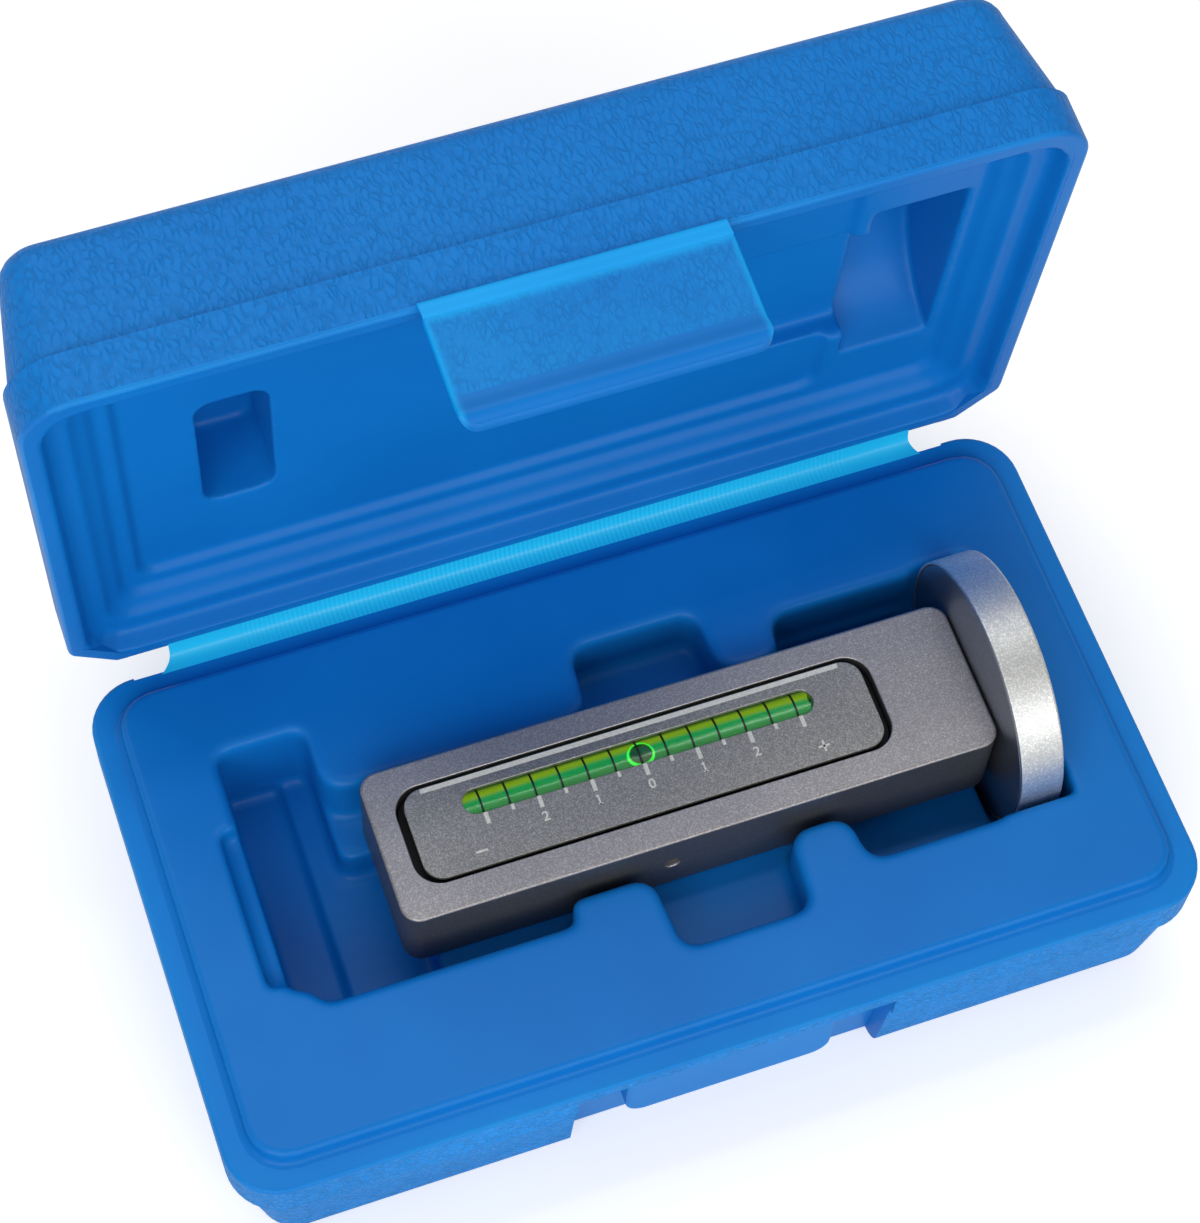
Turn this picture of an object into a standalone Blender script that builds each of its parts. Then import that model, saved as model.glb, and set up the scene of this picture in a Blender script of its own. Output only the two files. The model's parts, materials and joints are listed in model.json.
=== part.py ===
"""Magnetic camber gauge in its blow-moulded case, with the lid open.

Metres, +Z up, +X along the case and +Y towards its hinge. The origin is the middle of the
flat underside of the case. The gauge is a bar with a bubble vial and a round magnet at its end.
"""
import math

import bmesh
import bpy
from mathutils import Vector

# Shared clearances and finish of the meshes
GAP = 0.0003
OVERRUN = 0.002
SMALLEST_RADIUS = 0.0002
CORNER_STEPS = 4
EDGE_STEPS = 3
ROUND_STEPS = 64
SMALL_ROUND_STEPS = 24
SMOOTH_ANGLE = math.radians(32)

# Gauge bar
BODY_WIDTH = 0.030
BODY_HEIGHT = 0.0181
BODY_CORNER = 0.0035
BODY_EDGE = 0.0006

# Round magnet on the bar's end
MAGNET_RADIUS = 0.025
MAGNET_THICKNESS = 0.0083
MAGNET_EDGE = 0.0004
BACK_PLATE_THICKNESS = 0.0008
BACK_PLATE_LIP = 0.0005
CUP_WALL = 0.0024
CUP_BACK = 0.0017
FACE_SETBACK = 0.0003
RING_HOLE_RADIUS = 0.011
MAGNET_SCREW_RADIUS = 0.0024
MAGNET_SCREW_HEAD_RADIUS = 0.0045
MAGNET_SCREW_HEAD_HEIGHT = 0.0021
SCREW_END_METAL = 0.0062
MAGNET_SCREW_SOCKET_RADIUS = 0.002
MAGNET_SCREW_SOCKET_DEPTH = 0.0012
WASHER_THICKNESS = 0.0008
POLE_SEAT_THICKNESS = 0.0012

# Dial let into the top of the bar
DIAL_LEFT_METAL = 0.0047
DIAL_RIGHT_METAL = 0.0177
DIAL_SHIFT_Y = 0.00035
DIAL_LENGTH = 0.0904
DIAL_WIDTH = 0.0194
DIAL_CORNER = 0.005
DIAL_DEPTH = 0.0135
GROOVE_END = 0.0016
GROOVE_SIDE = 0.00075
PLATE_CORNER = 0.0038
PLATE_THICKNESS = 0.0015
PLATE_EDGE = 0.0003
ADHESIVE_THICKNESS = 0.0002
ADHESIVE_INSET = 0.0006
WINDOW_END_COVER = 0.0042
WINDOW_WIDTH = 0.005
WINDOW_SHIFT_Y = 0.0035
WINDOW_RELIEF = 0.001

# Bubble vial under the window
VIAL_END_METAL = 0.0077
VIAL_RADIUS = 0.0045
VIAL_DROP = 0.003
BORE_RADIUS = 0.0035
PLUG_SEAT = 0.004
TRAVEL_PER_DEGREE = 0.010
PLUG_SETBACK = 0.0003
BUBBLE_LENGTH = 0.005
BUBBLE_WIDTH = 0.0038
BUBBLE_HEIGHT = 0.0022
BUBBLE_END_GAP = 0.001
BORE_STATIONS = 12

# Grub screw that holds the vial holder from the side
GRUB_HOLE_RADIUS = 0.0015
GRUB_SCREW_RADIUS = 0.0012
GRUB_SCREW_LENGTH = 0.0045
GRUB_SOCKET_RADIUS = 0.0006
GRUB_SOCKET_DEPTH = 0.0015

# Case outside
BODY_INSET = 0.0417
MAGNET_INSET = 0.0193
MAGNET_SIDE_LAND = 0.02645
MAGNET_UNDER_LAND = 0.00785
MAGNET_OVER_LAND = 0.00785
CASE_WALL = 0.0015
CASE_CORNER = 0.010
CASE_EDGE = 0.0055
RIM_EDGE = 0.0008
BAND_HEIGHT = 0.00925
BAND_STEP = 0.001
END_DRAFT = math.radians(10)
SIDE_DRAFT = math.radians(5)

# Raised tray top and the recesses in it
PLATEAU_INSET = 0.005
PLATEAU_RISE = 0.003
PLATEAU_CORNER = 0.007
PLATEAU_EDGE = 0.001
PLATEAU_FILLET = 0.0008
MOUTH_FLARE = 0.001
FLOOR_FILLET = 0.0012
BED_FRONT_GAP = 0.0065
BED_BACK_GAP = 0.0015
BUMP_GAP = 0.0018
BUMP_SLOPE = 0.001
BUMP_CORNER = 0.004
LEFT_BUMP_LENGTH = 0.016
RIGHT_BUMP_LENGTH = 0.0135
NOTCH_SHIFT_X = 0.00165
NOTCH_WIDTH = 0.0241
NOTCH_FRONT_DEPTH = 0.0168
NOTCH_BACK_DEPTH = 0.0153
NOTCH_CORNER = 0.0035
RIGHT_POCKET_FRONT_GAP = 0.0114
RIGHT_POCKET_BACK_GAP = 0.010
RIGHT_POCKET_DROP = 0.0052
WELL_LENGTH = 0.022
WELL_SLOT_WIDTH = 0.0165
WELL_UNDER_LENGTH = 0.0055
WELL_UNDER_BACK = 0.008
WELL_DROP = 0.0078
WELL_CORNER = 0.0025
WELL_BEND = 0.005
WELL_STEP_X = 0.003
WELL_STEP_Y = 0.0015
WELL_SLANT_X = 0.006
WELL_SIDE_FRONT = 0.0168
DEEP_SLOT_WIDTH = 0.010
DEEP_SLOT_DROP = 0.004
DEEP_SLOT_INSET = 0.0012
LEDGE_LENGTH = 0.0035
LEDGE_FRONT = 0.016
LEDGE_BACK = 0.015
LEDGE_DEPTH = 0.004
LEDGE_CORNER = 0.0015
DISC_SLOT_CLEARANCE = 0.0009
DISC_SLOT_LEFT_GAP = 0.0061
DISC_SLOT_RIGHT_GAP = 0.0038
DISC_SLOT_SIDE_GAP = 0.0014

# Inside of the lid
LID_LAND = 0.0034
LID_STEP_HEIGHT = 0.0038
LID_STEP_INSET = 0.0045
LID_LEDGE_INSET = 0.0098
LID_PANEL_HEIGHT = 0.0079
LID_FILLET = 0.0016
LID_BODY_CLEARANCE = 0.00055
PANEL_LEFT_REACH = 0.0255
PANEL_RIGHT_SETBACK = 0.0081
PANEL_HALF_WIDTH = 0.0357
CHANNEL_LENGTH = 0.072
CHANNEL_SIDE_GAP = 0.003
CHANNEL_RISE = 0.0038
LID_DISC_CLEARANCE = 0.0015
LID_DISC_LEFT_GAP = 0.0051
LID_DISC_RIGHT_GAP = 0.0041
LID_POCKET_LENGTH = 0.013
LID_POCKET_REACH = 0.012
LID_POCKET_FRONT = 0.020
LID_POCKET_BACK = 0.0165
LID_POCKET_HEIGHT = 0.025
LID_POCKET_CORNER = 0.0035
LID_MOUTH_FLARE = 0.0008

# Living hinge at the back
HINGE_END_INSET = 0.0181
HINGE_OFFSET = 0.0025
HINGE_DROP = 0.00029
HINGE_THICKNESS = 0.0007
HINGE_END_CORNER = 0.0006
LID_OPEN = math.radians(85.2)

# Catch recess and latch flap at the front
RECESS_LEFT = 0.030
RECESS_RIGHT = 0.0295
RECESS_LIP = 0.003
RECESS_DEPTH = 0.00375
CATCH_LEFT = 0.0205
CATCH_RIGHT = 0.0185
CATCH_SETBACK = 0.00055
CATCH_DROP = 0.0189
CATCH_CORNER = 0.004
LATCH_OFFSET = 0.00105
FLAP_HALF_WIDTH = 0.026
FLAP_LENGTH = 0.023
FLAP_THICKNESS = 0.0015
FLAP_CORNER = 0.003
FLAP_EDGE = 0.0005
FLAP_WEB_LENGTH = 0.0023
FLAP_WEB_THICKNESS = 0.0007
HOOK_HALF_WIDTH = 0.017
HOOK_REACH = 0.00155
HOOK_HEIGHT = 0.0022

# Lengths that follow the dial
VIAL_LENGTH = DIAL_LENGTH - VIAL_END_METAL * 2
WINDOW_LENGTH = VIAL_LENGTH - WINDOW_END_COVER * 2
BORE_LENGTH = VIAL_LENGTH - PLUG_SEAT * 2
BODY_LENGTH = DIAL_LEFT_METAL + DIAL_LENGTH + DIAL_RIGHT_METAL
MAGNET_SCREW_REACH = DIAL_RIGHT_METAL - SCREW_END_METAL

# Places along the case
DISC_RADIUS = MAGNET_RADIUS + DISC_SLOT_CLEARANCE
CASE_HALF_X = (BODY_INSET + BODY_LENGTH + GAP + MAGNET_THICKNESS + MAGNET_INSET) / 2
CASE_HALF_Y = MAGNET_RADIUS + MAGNET_SIDE_LAND
PARTING_Z = MAGNET_RADIUS + MAGNET_UNDER_LAND + GAP
BASE_RIM_Z = PARTING_Z - GAP / 2
LID_RIM_Z = PARTING_Z + GAP / 2
LID_DEPTH = MAGNET_RADIUS + MAGNET_OVER_LAND
BASE_DEPTH = BASE_RIM_Z
BODY_LEFT = BODY_INSET - CASE_HALF_X
BODY_RIGHT = BODY_LEFT + BODY_LENGTH
BODY_MIDDLE = (BODY_LEFT + BODY_RIGHT) / 2
BODY_BOTTOM = PARTING_Z - BODY_HEIGHT / 2
BODY_TOP = PARTING_Z + BODY_HEIGHT / 2
BODY_SIDE = BODY_WIDTH / 2
MAGNET_LEFT = BODY_RIGHT + GAP
MAGNET_RIGHT = MAGNET_LEFT + MAGNET_THICKNESS
PLATEAU_TOP = BASE_RIM_Z + PLATEAU_RISE
BED_FLOOR = BODY_BOTTOM - GAP

# Places in the dial and the vial
DIAL_X = BODY_LEFT + DIAL_LEFT_METAL + DIAL_LENGTH / 2
DIAL_Y = DIAL_SHIFT_Y
DIAL_FLOOR = BODY_TOP - DIAL_DEPTH
PLATE_BOTTOM = BODY_TOP - PLATE_THICKNESS
ADHESIVE_TOP = PLATE_BOTTOM - GAP
HOLDER_TOP = ADHESIVE_TOP - ADHESIVE_THICKNESS - GAP
HOLDER_BOTTOM = DIAL_FLOOR + GAP
VIAL_Y = DIAL_Y + WINDOW_SHIFT_Y
VIAL_Z = BODY_TOP - VIAL_DROP - VIAL_RADIUS
BORE_CURVE_RADIUS = TRAVEL_PER_DEGREE / math.radians(1)
BUBBLE_TRAVEL = (BORE_LENGTH / 2 - BUBBLE_LENGTH / 2 - BUBBLE_END_GAP) / BORE_CURVE_RADIUS
BUBBLE_AXIS = Vector((DIAL_X, VIAL_Y, VIAL_Z + BORE_RADIUS - BORE_CURVE_RADIUS))

# Axes of the hinge and the latch, with the lid shut
HINGE_HALF_LENGTH = CASE_HALF_X - HINGE_END_INSET
HINGE_AXIS = Vector((0, CASE_HALF_Y + HINGE_OFFSET, PARTING_Z - HINGE_DROP))
LATCH_AXIS = Vector((0, -CASE_HALF_Y - LATCH_OFFSET, PARTING_Z))


def clear_scene():
    for thing in list(bpy.data.objects):
        bpy.data.objects.remove(thing, do_unlink=True)


def material(name, colour, roughness, metallic=0.0, alpha=1.0):
    made = bpy.data.materials.new(name)
    made.use_nodes = True
    shader = made.node_tree.nodes["Principled BSDF"]
    shader.inputs["Base Color"].default_value = (*colour, 1.0)
    shader.inputs["Roughness"].default_value = roughness
    shader.inputs["Metallic"].default_value = metallic
    shader.inputs["Alpha"].default_value = alpha
    return made


def empty(name, place, parent=None):
    made = bpy.data.objects.new(name, None)
    made.location = place if parent is None else place - Vector(parent["axis"])
    made["axis"] = place
    made.parent = parent
    bpy.context.scene.collection.objects.link(made)
    return made


def add(name, mesh_data, looks=None, pivot=None):
    """An object whose mesh is in the shut case's frame, carried by a pivot empty if it moves."""
    bmesh.ops.recalc_face_normals(mesh_data, faces=mesh_data.faces)
    mesh = bpy.data.meshes.new(name)
    mesh_data.to_mesh(mesh)
    mesh_data.free()
    mesh.shade_smooth()
    mesh.set_sharp_from_angle(angle=SMOOTH_ANGLE)
    made = bpy.data.objects.new(name, mesh)
    bpy.context.scene.collection.objects.link(made)
    if looks is not None:
        mesh.materials.append(looks)
    if pivot is not None:
        made.parent = pivot
        made.location = -Vector(pivot["axis"])
    return made


def combine(target, name, mesh_data, operation, pivot=None):
    """Cuts a guide body from the target, or joins it on."""
    guide = add(target.name + "_" + name, mesh_data, None, pivot)
    guide.hide_render = True
    guide.display_type = "WIRE"
    step = target.modifiers.new(name, "BOOLEAN")
    step.operation = operation
    step.object = guide
    return guide


def cut(target, name, mesh_data, pivot=None):
    return combine(target, name, mesh_data, "DIFFERENCE", pivot)


def join(target, name, mesh_data, pivot=None):
    return combine(target, name, mesh_data, "UNION", pivot)


def outline(corners, inset=0.0, steps=CORNER_STEPS):
    """Points of an anticlockwise outline of (x, y, radius) corners, moved inward by inset."""
    points = []
    for index, (x, y, radius) in enumerate(corners):
        here = Vector((x, y))
        before = Vector(corners[index - 1][:2])
        after = Vector(corners[(index + 1) % len(corners)][:2])
        coming = (here - before).normalized()
        going = (after - here).normalized()
        inward_coming = Vector((-coming.y, coming.x))
        inward_going = Vector((-going.y, going.x))
        turn = math.atan2(coming.cross(going), coming.dot(going))
        side = math.copysign(1.0, turn)
        shift = (inward_coming + inward_going) / (1.0 + inward_coming.dot(inward_going))
        tip = here + shift * inset
        bend = max(radius - side * inset, SMALLEST_RADIUS)
        start = tip - coming * bend * math.tan(abs(turn) / 2)
        centre = start + inward_coming * side * bend
        spoke = start - centre
        for step in range(steps + 1):
            angle = turn * step / steps
            turned = Vector((spoke.x * math.cos(angle) - spoke.y * math.sin(angle),
                             spoke.x * math.sin(angle) + spoke.y * math.cos(angle)))
            points.append(centre + turned)
    return points


def rectangle(left, right, front, back, radius):
    return [(left, front, radius), (right, front, radius), (right, back, radius), (left, back, radius)]


def body_of_rings(rings):
    """A closed body through rings of points, with a flat cap on its first and last ring."""
    bm = bmesh.new()
    loops = [[bm.verts.new(point) for point in ring] for ring in rings]
    for lower, upper in zip(loops, loops[1:]):
        for index in range(len(lower)):
            following = (index + 1) % len(lower)
            bm.faces.new((lower[index], lower[following], upper[following], upper[index]))
    bm.faces.new(loops[0])
    bm.faces.new(loops[-1])
    return bm


def upright(corners, levels):
    """A body of level outlines: levels are (height, inset) from one cap to the other."""
    rings = []
    for height, inset in levels:
        rings.append([Vector((*point, height)) for point in outline(corners, inset)])
    return body_of_rings(rings)


def along_x(profile, left, right):
    """A straight bar of a (y, z) profile."""
    return body_of_rings([[Vector((x, *point)) for point in profile] for x in (left, right)])


def along_y(profile, levels):
    """A body of (x, z) outlines: levels are (y, inset)."""
    rings = []
    for y, inset in levels:
        rings.append([Vector((point.x, y, point.y)) for point in outline(profile, inset)])
    return body_of_rings(rings)


def box(left, right, front, back, bottom, top):
    low = Vector((left, front, bottom))
    high = Vector((right, back, top))
    bm = bmesh.new()
    bmesh.ops.create_cube(bm, size=1.0)
    bmesh.ops.scale(bm, vec=high - low, verts=bm.verts)
    bmesh.ops.translate(bm, vec=(high + low) / 2, verts=bm.verts)
    return bm


def turned(profile, centre, axis, steps):
    """A profile of (along, radius) points turned about an axis: a closed loop if it has a bore."""
    bm = bmesh.new()
    side = Vector((0, 0, 1))
    points = [bm.verts.new(centre + axis * along + side * radius) for along, radius in profile]
    edges = [bm.edges.new(pair) for pair in zip(points, points[1:])]
    if profile[0][1] > 0:
        edges.append(bm.edges.new((points[-1], points[0])))
    bmesh.ops.spin(bm, geom=points + edges, cent=centre, axis=axis, angle=math.tau, steps=steps,
                   use_merge=True)
    bmesh.ops.remove_doubles(bm, verts=bm.verts, dist=SMALLEST_RADIUS / 100)
    return bm


def rounded_edge(height, direction, radius, inset=0.0):
    """Levels that round an edge over to a face at the given height; direction is out of it."""
    levels = []
    for step in range(EDGE_STEPS + 1):
        angle = math.radians(90) * step / EDGE_STEPS
        levels.append((height - direction * radius * (1 - math.sin(angle)),
                       inset + radius * (1 - math.cos(angle))))
    return levels


def rounded_block(corners, bottom, top, edge):
    """A block whose bottom and top edges are rounded alike."""
    levels = rounded_edge(bottom, -1, edge)[::-1] + rounded_edge(top, 1, edge)
    return upright(corners, levels)


# The case's walls follow one profile of (height from the rim, inset at the ends,
# inset at the sides, corner radius), used for the base and, turned over, for the lid.

def case_ring(height, inset_x, inset_y, corner):
    corners = rectangle(inset_x - CASE_HALF_X, CASE_HALF_X - inset_x,
                        inset_y - CASE_HALF_Y, CASE_HALF_Y - inset_y, corner)
    return [Vector((*point, height)) for point in outline(corners)]


def outer_profile(depth):
    profile = [(CASE_WALL + GAP, 0, 0, CASE_CORNER)]
    profile.append((BAND_HEIGHT, 0, 0, CASE_CORNER))
    profile.append((BAND_HEIGHT + BAND_STEP / 2, BAND_STEP, BAND_STEP, CASE_CORNER - BAND_STEP))
    drafted = depth - CASE_EDGE - BAND_HEIGHT
    end_inset = BAND_STEP + drafted * math.tan(END_DRAFT)
    side_inset = BAND_STEP + drafted * math.tan(SIDE_DRAFT)
    for step in range(CORNER_STEPS + 1):
        angle = math.radians(90) * step / CORNER_STEPS
        rounding = CASE_EDGE * (1 - math.cos(angle))
        profile.append((depth - CASE_EDGE * (1 - math.sin(angle)), end_inset + rounding,
                        side_inset + rounding, CASE_CORNER - BAND_STEP - rounding))
    return profile


def inner_profile(depth):
    first, *others = outer_profile(depth)
    profile = [(first[0], CASE_WALL, CASE_WALL, CASE_CORNER - CASE_WALL)]
    for height, inset_x, inset_y, corner in others:
        profile.append((height - CASE_WALL, inset_x + CASE_WALL, inset_y + CASE_WALL,
                        corner - CASE_WALL))
    return profile


def wall_rings(profile, rim, direction):
    return [case_ring(rim + direction * height, *rest) for height, *rest in profile]


def pocket(corners, mouth, floor, flare, fillet):
    """A cutter for a pocket: a flared mouth, straight walls and a filleted floor."""
    out = math.copysign(1.0, mouth - floor)
    levels = [(mouth + out * OVERRUN, -flare), (mouth, -flare), (mouth - out * flare, 0)]
    levels += [(floor + out * fillet, 0), (floor, fillet)]
    return upright(corners, levels)


def pocket_wall(corners, mouth, floor):
    """The outside of the wall round a pocket, from half way into the sheet at its mouth."""
    out = math.copysign(1.0, mouth - floor)
    levels = [(mouth - out * CASE_WALL / 2, -CASE_WALL), (floor - out * CASE_WALL, -CASE_WALL)]
    return upright(corners, levels)


def half_round(radius, side, mouth):
    """A (y, z) profile round the magnet's lower half: straight up at its sides to the mouth."""
    profile = [(side, mouth), (-side, mouth)]
    for step in range(ROUND_STEPS // 2 + 1):
        angle = math.pi * step / (ROUND_STEPS // 2)
        profile.append((-radius * math.cos(angle), PARTING_Z - radius * math.sin(angle)))
    return profile


def arch(radius, mouth):
    """A (y, z) profile round the magnet's upper half, cut off flat at the mouth."""
    first = math.asin((mouth - PARTING_Z) / radius)
    profile = []
    for step in range(ROUND_STEPS // 2 + 1):
        angle = first + (math.pi - first * 2) * step / (ROUND_STEPS // 2)
        profile.append((radius * math.cos(angle), PARTING_Z + radius * math.sin(angle)))
    return profile


def well_corners():
    left = BODY_LEFT - WELL_LENGTH
    slot_right = left + WELL_SLOT_WIDTH
    under = BODY_LEFT + WELL_UNDER_LENGTH
    front = -BODY_SIDE - BED_FRONT_GAP
    back = BODY_SIDE + NOTCH_BACK_DEPTH
    return [(left, -WELL_SIDE_FRONT, LEDGE_CORNER),
            (left + WELL_STEP_X, -WELL_SIDE_FRONT - WELL_STEP_Y, LEDGE_CORNER),
            (left + WELL_SLANT_X, front, WELL_CORNER),
            (under, front, LEDGE_CORNER),
            (under, WELL_UNDER_BACK, LEDGE_CORNER),
            (slot_right, WELL_UNDER_BACK, WELL_CORNER),
            (slot_right, back, WELL_CORNER),
            (left, back, WELL_CORNER)]


def deep_slot_corners():
    left = BODY_LEFT - WELL_LENGTH + DEEP_SLOT_INSET
    return rectangle(left, left + DEEP_SLOT_WIDTH, DEEP_SLOT_INSET - WELL_SIDE_FRONT,
                     BODY_SIDE + NOTCH_BACK_DEPTH - DEEP_SLOT_INSET, LEDGE_CORNER)


def ledge_corners():
    left = BODY_LEFT - WELL_LENGTH - LEDGE_LENGTH
    return rectangle(left, left + LEDGE_LENGTH + WELL_STEP_X, -LEDGE_FRONT, LEDGE_BACK, LEDGE_CORNER)


def bed_corners():
    front = -BODY_SIDE - BED_FRONT_GAP
    bump = -BODY_SIDE - BUMP_GAP
    back = BODY_SIDE + BED_BACK_GAP
    notch_left = BODY_MIDDLE + NOTCH_SHIFT_X - NOTCH_WIDTH / 2
    notch_right = notch_left + NOTCH_WIDTH
    notch_front = -BODY_SIDE - NOTCH_FRONT_DEPTH
    notch_back = BODY_SIDE + NOTCH_BACK_DEPTH
    bump_left = notch_left - LEFT_BUMP_LENGTH
    bump_right = notch_right + RIGHT_BUMP_LENGTH
    slot_right = BODY_LEFT - WELL_LENGTH + WELL_SLOT_WIDTH
    slot_inside = slot_right - WELL_BEND
    slot_back = back + WELL_BEND + WELL_CORNER
    pocket_front = -BODY_SIDE - RIGHT_POCKET_FRONT_GAP
    pocket_back = BODY_SIDE + RIGHT_POCKET_BACK_GAP
    right_end = MAGNET_LEFT - DISC_SLOT_LEFT_GAP + OVERRUN
    return [(slot_inside, front, SMALLEST_RADIUS),
            (bump_left - BUMP_SLOPE, front, BUMP_CORNER / 2),
            (bump_left, bump, BUMP_CORNER / 2),
            (notch_left - BUMP_SLOPE, bump, BUMP_CORNER),
            (notch_left, notch_front, NOTCH_CORNER),
            (notch_right, notch_front, NOTCH_CORNER),
            (notch_right + BUMP_SLOPE, bump, BUMP_CORNER),
            (bump_right - BUMP_SLOPE, bump, BUMP_CORNER),
            (bump_right, pocket_front, NOTCH_CORNER),
            (right_end, pocket_front, SMALLEST_RADIUS),
            (right_end, pocket_back, SMALLEST_RADIUS),
            (bump_right, pocket_back, NOTCH_CORNER),
            (bump_right - BUMP_SLOPE, back, BUMP_CORNER),
            (notch_right + BUMP_SLOPE, back, BUMP_CORNER),
            (notch_right, notch_back, NOTCH_CORNER),
            (notch_left, notch_back, NOTCH_CORNER),
            (notch_left - BUMP_SLOPE, back, BUMP_CORNER),
            (slot_right, back, WELL_BEND),
            (slot_right, slot_back, SMALLEST_RADIUS),
            (slot_inside, slot_back, SMALLEST_RADIUS)]


def right_pocket_corners():
    notch_right = BODY_MIDDLE + NOTCH_SHIFT_X + NOTCH_WIDTH / 2
    left = notch_right + RIGHT_BUMP_LENGTH + FLOOR_FILLET
    return rectangle(left, MAGNET_LEFT - DISC_SLOT_LEFT_GAP + OVERRUN * 2,
                     FLOOR_FILLET - BODY_SIDE - RIGHT_POCKET_FRONT_GAP,
                     BODY_SIDE + RIGHT_POCKET_BACK_GAP - FLOOR_FILLET, LEDGE_CORNER)


def recess_profile(backing):
    """The (y, z) outline of the channel in the base's front wall, or of its wall if backed."""
    lip = BASE_RIM_Z - RECESS_LIP + backing
    back_top = RECESS_DEPTH - CASE_HALF_Y + backing
    back_bottom = back_top + BAND_STEP + lip * math.tan(SIDE_DRAFT)
    front = -CASE_HALF_Y - OVERRUN
    return [(front, lip), (front, -OVERRUN), (back_bottom, -OVERRUN), (back_top, lip)]


def make_base_outer_wall(looks):
    outside = body_of_rings(wall_rings(outer_profile(BASE_DEPTH), BASE_RIM_Z, -1))
    wall = add("base_outer_wall", outside, looks)
    cut(wall, "recess", along_x(recess_profile(0), -RECESS_LEFT, RECESS_RIGHT))
    front = CATCH_SETBACK - CASE_HALF_Y
    catch_bottom = PARTING_Z - CATCH_DROP
    catch_top = BASE_RIM_Z - RECESS_LIP + CASE_WALL / 2
    catch = [(-CATCH_LEFT, catch_bottom, CATCH_CORNER), (CATCH_RIGHT, catch_bottom, CATCH_CORNER),
             (CATCH_RIGHT, catch_top, SMALLEST_RADIUS), (-CATCH_LEFT, catch_top, SMALLEST_RADIUS)]
    behind = front + RECESS_DEPTH + BAND_STEP + CASE_WALL
    join(wall, "catch", along_y(catch, [(front, FLAP_EDGE), (front + FLAP_EDGE, 0), (behind, 0)]))
    mouth, *others = inner_profile(BASE_DEPTH)
    inside = wall_rings([(0, *mouth[1:]), *others], BASE_RIM_Z, -1)
    hollow = cut(wall, "hollow", body_of_rings(inside))
    cut(hollow, "backing", along_x(recess_profile(CASE_WALL), -RECESS_LEFT - CASE_WALL,
                                   RECESS_RIGHT + CASE_WALL))
    return wall


def make_base_inner_tray(looks):
    land = [(BASE_RIM_Z - CASE_WALL, 0), (BASE_RIM_Z - RIM_EDGE, 0)]
    land += rounded_edge(BASE_RIM_Z, 1, RIM_EDGE)[1:]
    foot = PLATEAU_INSET - PLATEAU_FILLET
    rings = [case_ring(height, inset, inset, CASE_CORNER - inset) for height, inset in land]
    rings.append(case_ring(BASE_RIM_Z, foot, foot, PLATEAU_CORNER + PLATEAU_FILLET))
    rings.append(case_ring(BASE_RIM_Z + PLATEAU_FILLET, PLATEAU_INSET, PLATEAU_INSET, PLATEAU_CORNER))
    for height, inset in rounded_edge(PLATEAU_TOP, 1, PLATEAU_EDGE, PLATEAU_INSET):
        rings.append(case_ring(height, inset, inset, PLATEAU_CORNER + PLATEAU_INSET - inset))
    under = PLATEAU_INSET + CASE_WALL
    underside = [case_ring(PLATEAU_TOP - CASE_WALL, under, under, PLATEAU_CORNER - CASE_WALL),
                 case_ring(BASE_RIM_Z - CASE_WALL, under, under, PLATEAU_CORNER - CASE_WALL)]
    tray = add("base_inner_tray", body_of_rings(underside + rings), looks)

    well_floor = BED_FLOOR - WELL_DROP
    pockets = [("bed", bed_corners(), PLATEAU_TOP, BED_FLOOR, MOUTH_FLARE),
               ("well", well_corners(), PLATEAU_TOP, well_floor, MOUTH_FLARE),
               ("ledge", ledge_corners(), PLATEAU_TOP, PLATEAU_TOP - LEDGE_DEPTH, MOUTH_FLARE / 2),
               ("deep_slot", deep_slot_corners(), well_floor, well_floor - DEEP_SLOT_DROP, 0),
               ("right_pocket", right_pocket_corners(), BED_FLOOR, BED_FLOOR - RIGHT_POCKET_DROP, 0)]
    disc_left = MAGNET_LEFT - DISC_SLOT_LEFT_GAP
    disc_right = MAGNET_RIGHT + DISC_SLOT_RIGHT_GAP
    disc_side = MAGNET_RADIUS + DISC_SLOT_SIDE_GAP
    for name, corners, mouth, floor, flare in pockets:
        join(tray, name + "_wall", pocket_wall(corners, mouth, floor))
    shell = half_round(DISC_RADIUS + CASE_WALL, disc_side + CASE_WALL, PLATEAU_TOP - CASE_WALL / 2)
    join(tray, "disc_wall", along_x(shell, disc_left - CASE_WALL, disc_right + CASE_WALL))
    slot = half_round(DISC_RADIUS, disc_side, PLATEAU_TOP + OVERRUN)
    cut(tray, "disc_slot", along_x(slot, disc_left, disc_right))
    for name, corners, mouth, floor, flare in pockets:
        cut(tray, name, pocket(corners, mouth, floor, flare, FLOOR_FILLET))
    return tray


def make_lid_outer_wall(looks, pivot):
    outer = wall_rings(outer_profile(LID_DEPTH), LID_RIM_Z, 1)
    inner = wall_rings(inner_profile(LID_DEPTH), LID_RIM_Z, 1)
    return add("lid_outer_wall", body_of_rings(outer[::-1] + inner), looks, pivot)


def lid_inner_levels():
    """Levels of the lid's inner face: (height above the rim, inset)."""
    levels = rounded_edge(0, -1, RIM_EDGE)
    levels += [(0, LID_LAND), (LID_STEP_HEIGHT - LID_FILLET / 2, LID_STEP_INSET),
               (LID_STEP_HEIGHT, LID_STEP_INSET + LID_FILLET / 2),
               (LID_STEP_HEIGHT, LID_LEDGE_INSET - LID_FILLET),
               (LID_STEP_HEIGHT + LID_FILLET, LID_LEDGE_INSET),
               (LID_PANEL_HEIGHT - LID_FILLET, LID_LEDGE_INSET + LID_FILLET),
               (LID_PANEL_HEIGHT, LID_LEDGE_INSET + LID_FILLET * 2)]
    return levels


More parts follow.
